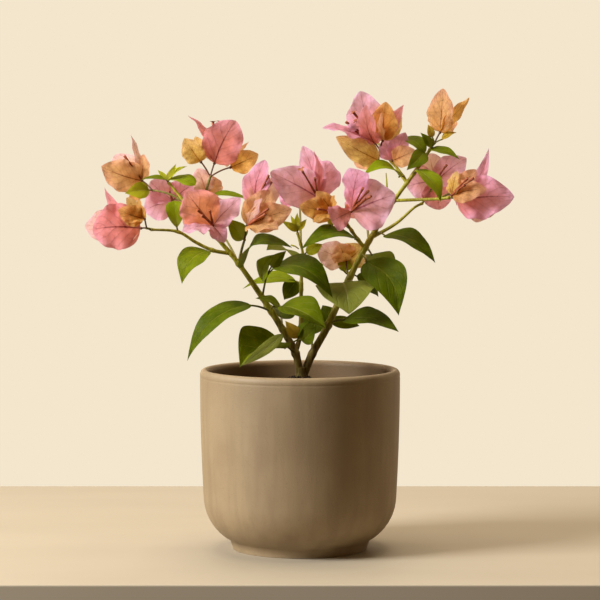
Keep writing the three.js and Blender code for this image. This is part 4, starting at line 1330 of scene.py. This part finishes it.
def clay_finish():
    finish = Finish("clay")
    clouds = finish.grain(26, 4.0)
    streaks = finish.grain(90, 4.0, (1, 1, 0.1))
    specks = finish.grain(900, 2.0)
    pits = finish.fade(finish.grain(340, 2.0), 0.27, 0.36)
    body = finish.blend(finish.fade(clouds, 0.3, 0.7), color(150, 129, 98), color(160, 139, 107))
    brushed = finish.blend(finish.fade(streaks, 0.4, 0.66) * STREAKS, body, color(136, 114, 86))
    grainy = finish.blend(finish.fade(specks, 0.62, 0.72) * SPECKS, brushed, color(116, 95, 73))
    spot = finish.node("SeparateXYZ", values={0: finish.node("TexCoord", output="Object")})
    flat = finish.node("CombineXYZ", values={0: spot, 1: spot.other(1)})
    radius = finish.node("VectorMath", {"operation": "LENGTH"}, {0: flat}, 1)
    inside = 1 - finish.fade(radius, INNER_SHADE_FROM * MM, INNER_SHADE_TO * MM)
    # painted shade: the inner wall above the soil is darkened to stand in for the shadow inside the pot
    painted_inner_shade = finish.blend(inside * finish.fade(spot.other(2), *INNER_SHADE_ABOVE), grainy, color(124, 98, 66))
    finish.feed(Base_Color=painted_inner_shade, Roughness=0.6 + (clouds - 0.5) * 0.16)
    finish.relief(streaks * 0.5 + specks * 0.4 + pits * 0.12 + clouds * 0.5, 0.0003)
    return finish.material


clay_look = clay_finish()
print("clay:", len(clay_look.node_tree.nodes), "nodes")

# %% Pot
POT_STEPS = 128


def add_turned(mesh, profile, steps):
    corners = [mesh.verts.new((radius, 0, height)) for radius, height in profile]
    edges = [mesh.edges.new(pair) for pair in zip(corners, corners[1:])]
    bmesh.ops.spin(mesh, geom=corners + edges, cent=(0, 0, 0), axis=(0, 0, 1), dvec=(0, 0, 0),
                   angle=math.tau, steps=steps, use_merge=True, use_duplicate=False)
    bmesh.ops.remove_doubles(mesh, verts=mesh.verts[:], dist=WELD)


pot = new_mesh()
add_turned(pot, pot_profile(), POT_STEPS)
make_piece("pot_body", pot, clay_look, "pot", "pot")

# %% [markdown]
# ## The soil
# Potting mix fills the pot to a finger below the rim and is heaped a little round the stems. Its
# surface is lumpy. The heap is turned like the pot, a hair narrower than the pot's inside, and its top
# is then moved by noise that fades out at the wall.

# %% Surface of the soil
SOIL = {"crown": 126.5, "crown_radius": 9.0, "edge": 117.5, "gap": 0.3, "heap": 4.0,
        "heap_radius": 9.5}
SOIL_RINGS = 44
LUMP = 1.1
LUMPS = ((0.12, 1.0), (0.35, 0.6), (0.9, 0.3))


def soil_height(radius):
    share = within((REACH - radius) / (REACH - SOIL["crown_radius"]), 0.0, 1.0)
    heap = SOIL["heap"] * hump(radius, SOIL["heap_radius"])
    return SOIL["edge"] + share * share * (SOIL["crown"] - SOIL["edge"]) + heap


def lump(x, y):
    return LUMP * rough(Vector((x, y, 0)), LUMPS)


def soil_profile():
    gap = SOIL["gap"]
    side = inner_wall(gap, POT["floor"] + gap, SOIL["edge"])
    edge = side[-1][0]
    rings = [edge * (1 - ring / SOIL_RINGS) for ring in range(1, SOIL_RINGS)]
    return [(0, POT["floor"] + gap), *side, *[(radius, soil_height(radius)) for radius in rings],
            (0, soil_height(0))]


print("the soil lies", round(POT["height"] - soil_height(REACH)), "mm below the rim at its edge")

# %% Soil
SOIL_STEPS = 96
TOP_FROM = SOIL["edge"] - 1
EDGE_CALM = 4  # mm from the wall, where the lumps have their full size


def soil_finish():
    finish = Finish("potting_mix")
    coarse = finish.grain(240, 6.0)
    fine = finish.grain(900, 4.0)
    dark = finish.blend(finish.fade(coarse, 0.35, 0.65), color(34, 24, 17), color(66, 47, 32))
    flecked = finish.blend(finish.fade(fine, 0.6, 0.7), dark, color(104, 78, 52))
    finish.feed(Base_Color=flecked, Roughness=0.95)
    finish.relief(coarse + fine * 0.6, 0.0012)
    return finish.material


soil = new_mesh()
add_turned(soil, soil_profile(), SOIL_STEPS)
for corner in soil.verts:
    if corner.co.z > TOP_FROM:
        from_wall = REACH - math.hypot(corner.co.x, corner.co.y)
        corner.co.z += lump(corner.co.x, corner.co.y) * within(from_wall / EDGE_CALM, 0, 1)
soil_look = soil_finish()
make_piece("soil_heap", soil, soil_look, "soil", "soil")

# %% [markdown]
# ### Crumbs
# Crumbs of peat and chips of bark lie on the soil, most of them scattered and some close round the
# stems. Each is a small ball, pressed flat and dented by noise, because hundreds of them have to
# stay light.

# %% Crumbs
CRUMBS = 620
HEAPED = 70  # of them lie close round the stems
HEAP_RING = (4.0, 16.0)
CRUMB = {"size": (0.5, 1.0), "chips": 0.15, "chip": 2.2, "grain": 1.1, "margin": 3, "sunk": 0.2}
CRUMB_STRETCH = ((0.7, 1.5), (0.7, 1.5), (0.5, 0.9))
DENT, DENT_FINENESS = 0.5, 1.3

crumbs = new_mesh()
for number in range(CRUMBS):
    radius = (REACH - CRUMB["margin"]) * math.sqrt(chance.random())
    if number < HEAPED:
        radius = chance.uniform(*HEAP_RING)
    angle = chance.uniform(0, math.tau)
    size = chance.uniform(*CRUMB["size"])
    size *= CRUMB["chip"] if chance.random() < CRUMB["chips"] else CRUMB["grain"]
    x, y = radius * math.cos(angle), radius * math.sin(angle)
    made = bmesh.ops.create_icosphere(crumbs, subdivisions=1, radius=size)
    stretch = Vector([chance.uniform(*limits) for limits in CRUMB_STRETCH])
    for corner in made["verts"]:
        dent = 1 + DENT * noise.noise(corner.co * DENT_FINENESS + Vector((x, y, 0)))
        corner.co = corner.co * stretch * dent
        corner.co += Vector((x, y, soil_height(radius) + lump(x, y) + size * CRUMB["sunk"]))
make_piece("soil_crumbs", crumbs, soil_look, "soil")

# %% [markdown]
# ## The floor
# A plain pale slab of stone carries the pot. It isn't part of the object, so it is only staged. It is
# a closed block, so that its front edge shows its thickness and throws little light back at the pot.

# %% Floor
FLOOR = {"width": 1.6, "front": -0.16, "back": 0.333, "thickness": 0.04, "edge": 0.0012}


def floor_finish():
    finish = Finish("pale_floor")
    clouds = finish.grain(9, 5.0, (0.5, 1.6, 1))
    finish.feed(Base_Color=finish.blend(clouds, color(173, 162, 141), color(186, 175, 156)), Roughness=0.55)
    return finish.material


floor = bmesh.new()
bmesh.ops.create_cube(floor, size=1.0)
depth = FLOOR["back"] - FLOOR["front"]
bmesh.ops.scale(floor, vec=(FLOOR["width"], depth, FLOOR["thickness"]), verts=floor.verts[:])
bmesh.ops.translate(floor, vec=(0, FLOOR["front"] + depth / 2, -FLOOR["thickness"] / 2),
                    verts=floor.verts[:])
bmesh.ops.bevel(floor, geom=floor.edges[:], offset=FLOOR["edge"], segments=3, affect="EDGES",
                profile=0.5, material=-1)
floor_data = bpy.data.meshes.new("floor")
floor.to_mesh(floor_data)
floor.free()
floor_data.materials.append(floor_finish())
floor_object = bpy.data.objects.new("floor", floor_data)
bpy.context.scene.collection.objects.link(floor_object)
print("floor:", len(floor_data.polygons), "faces")
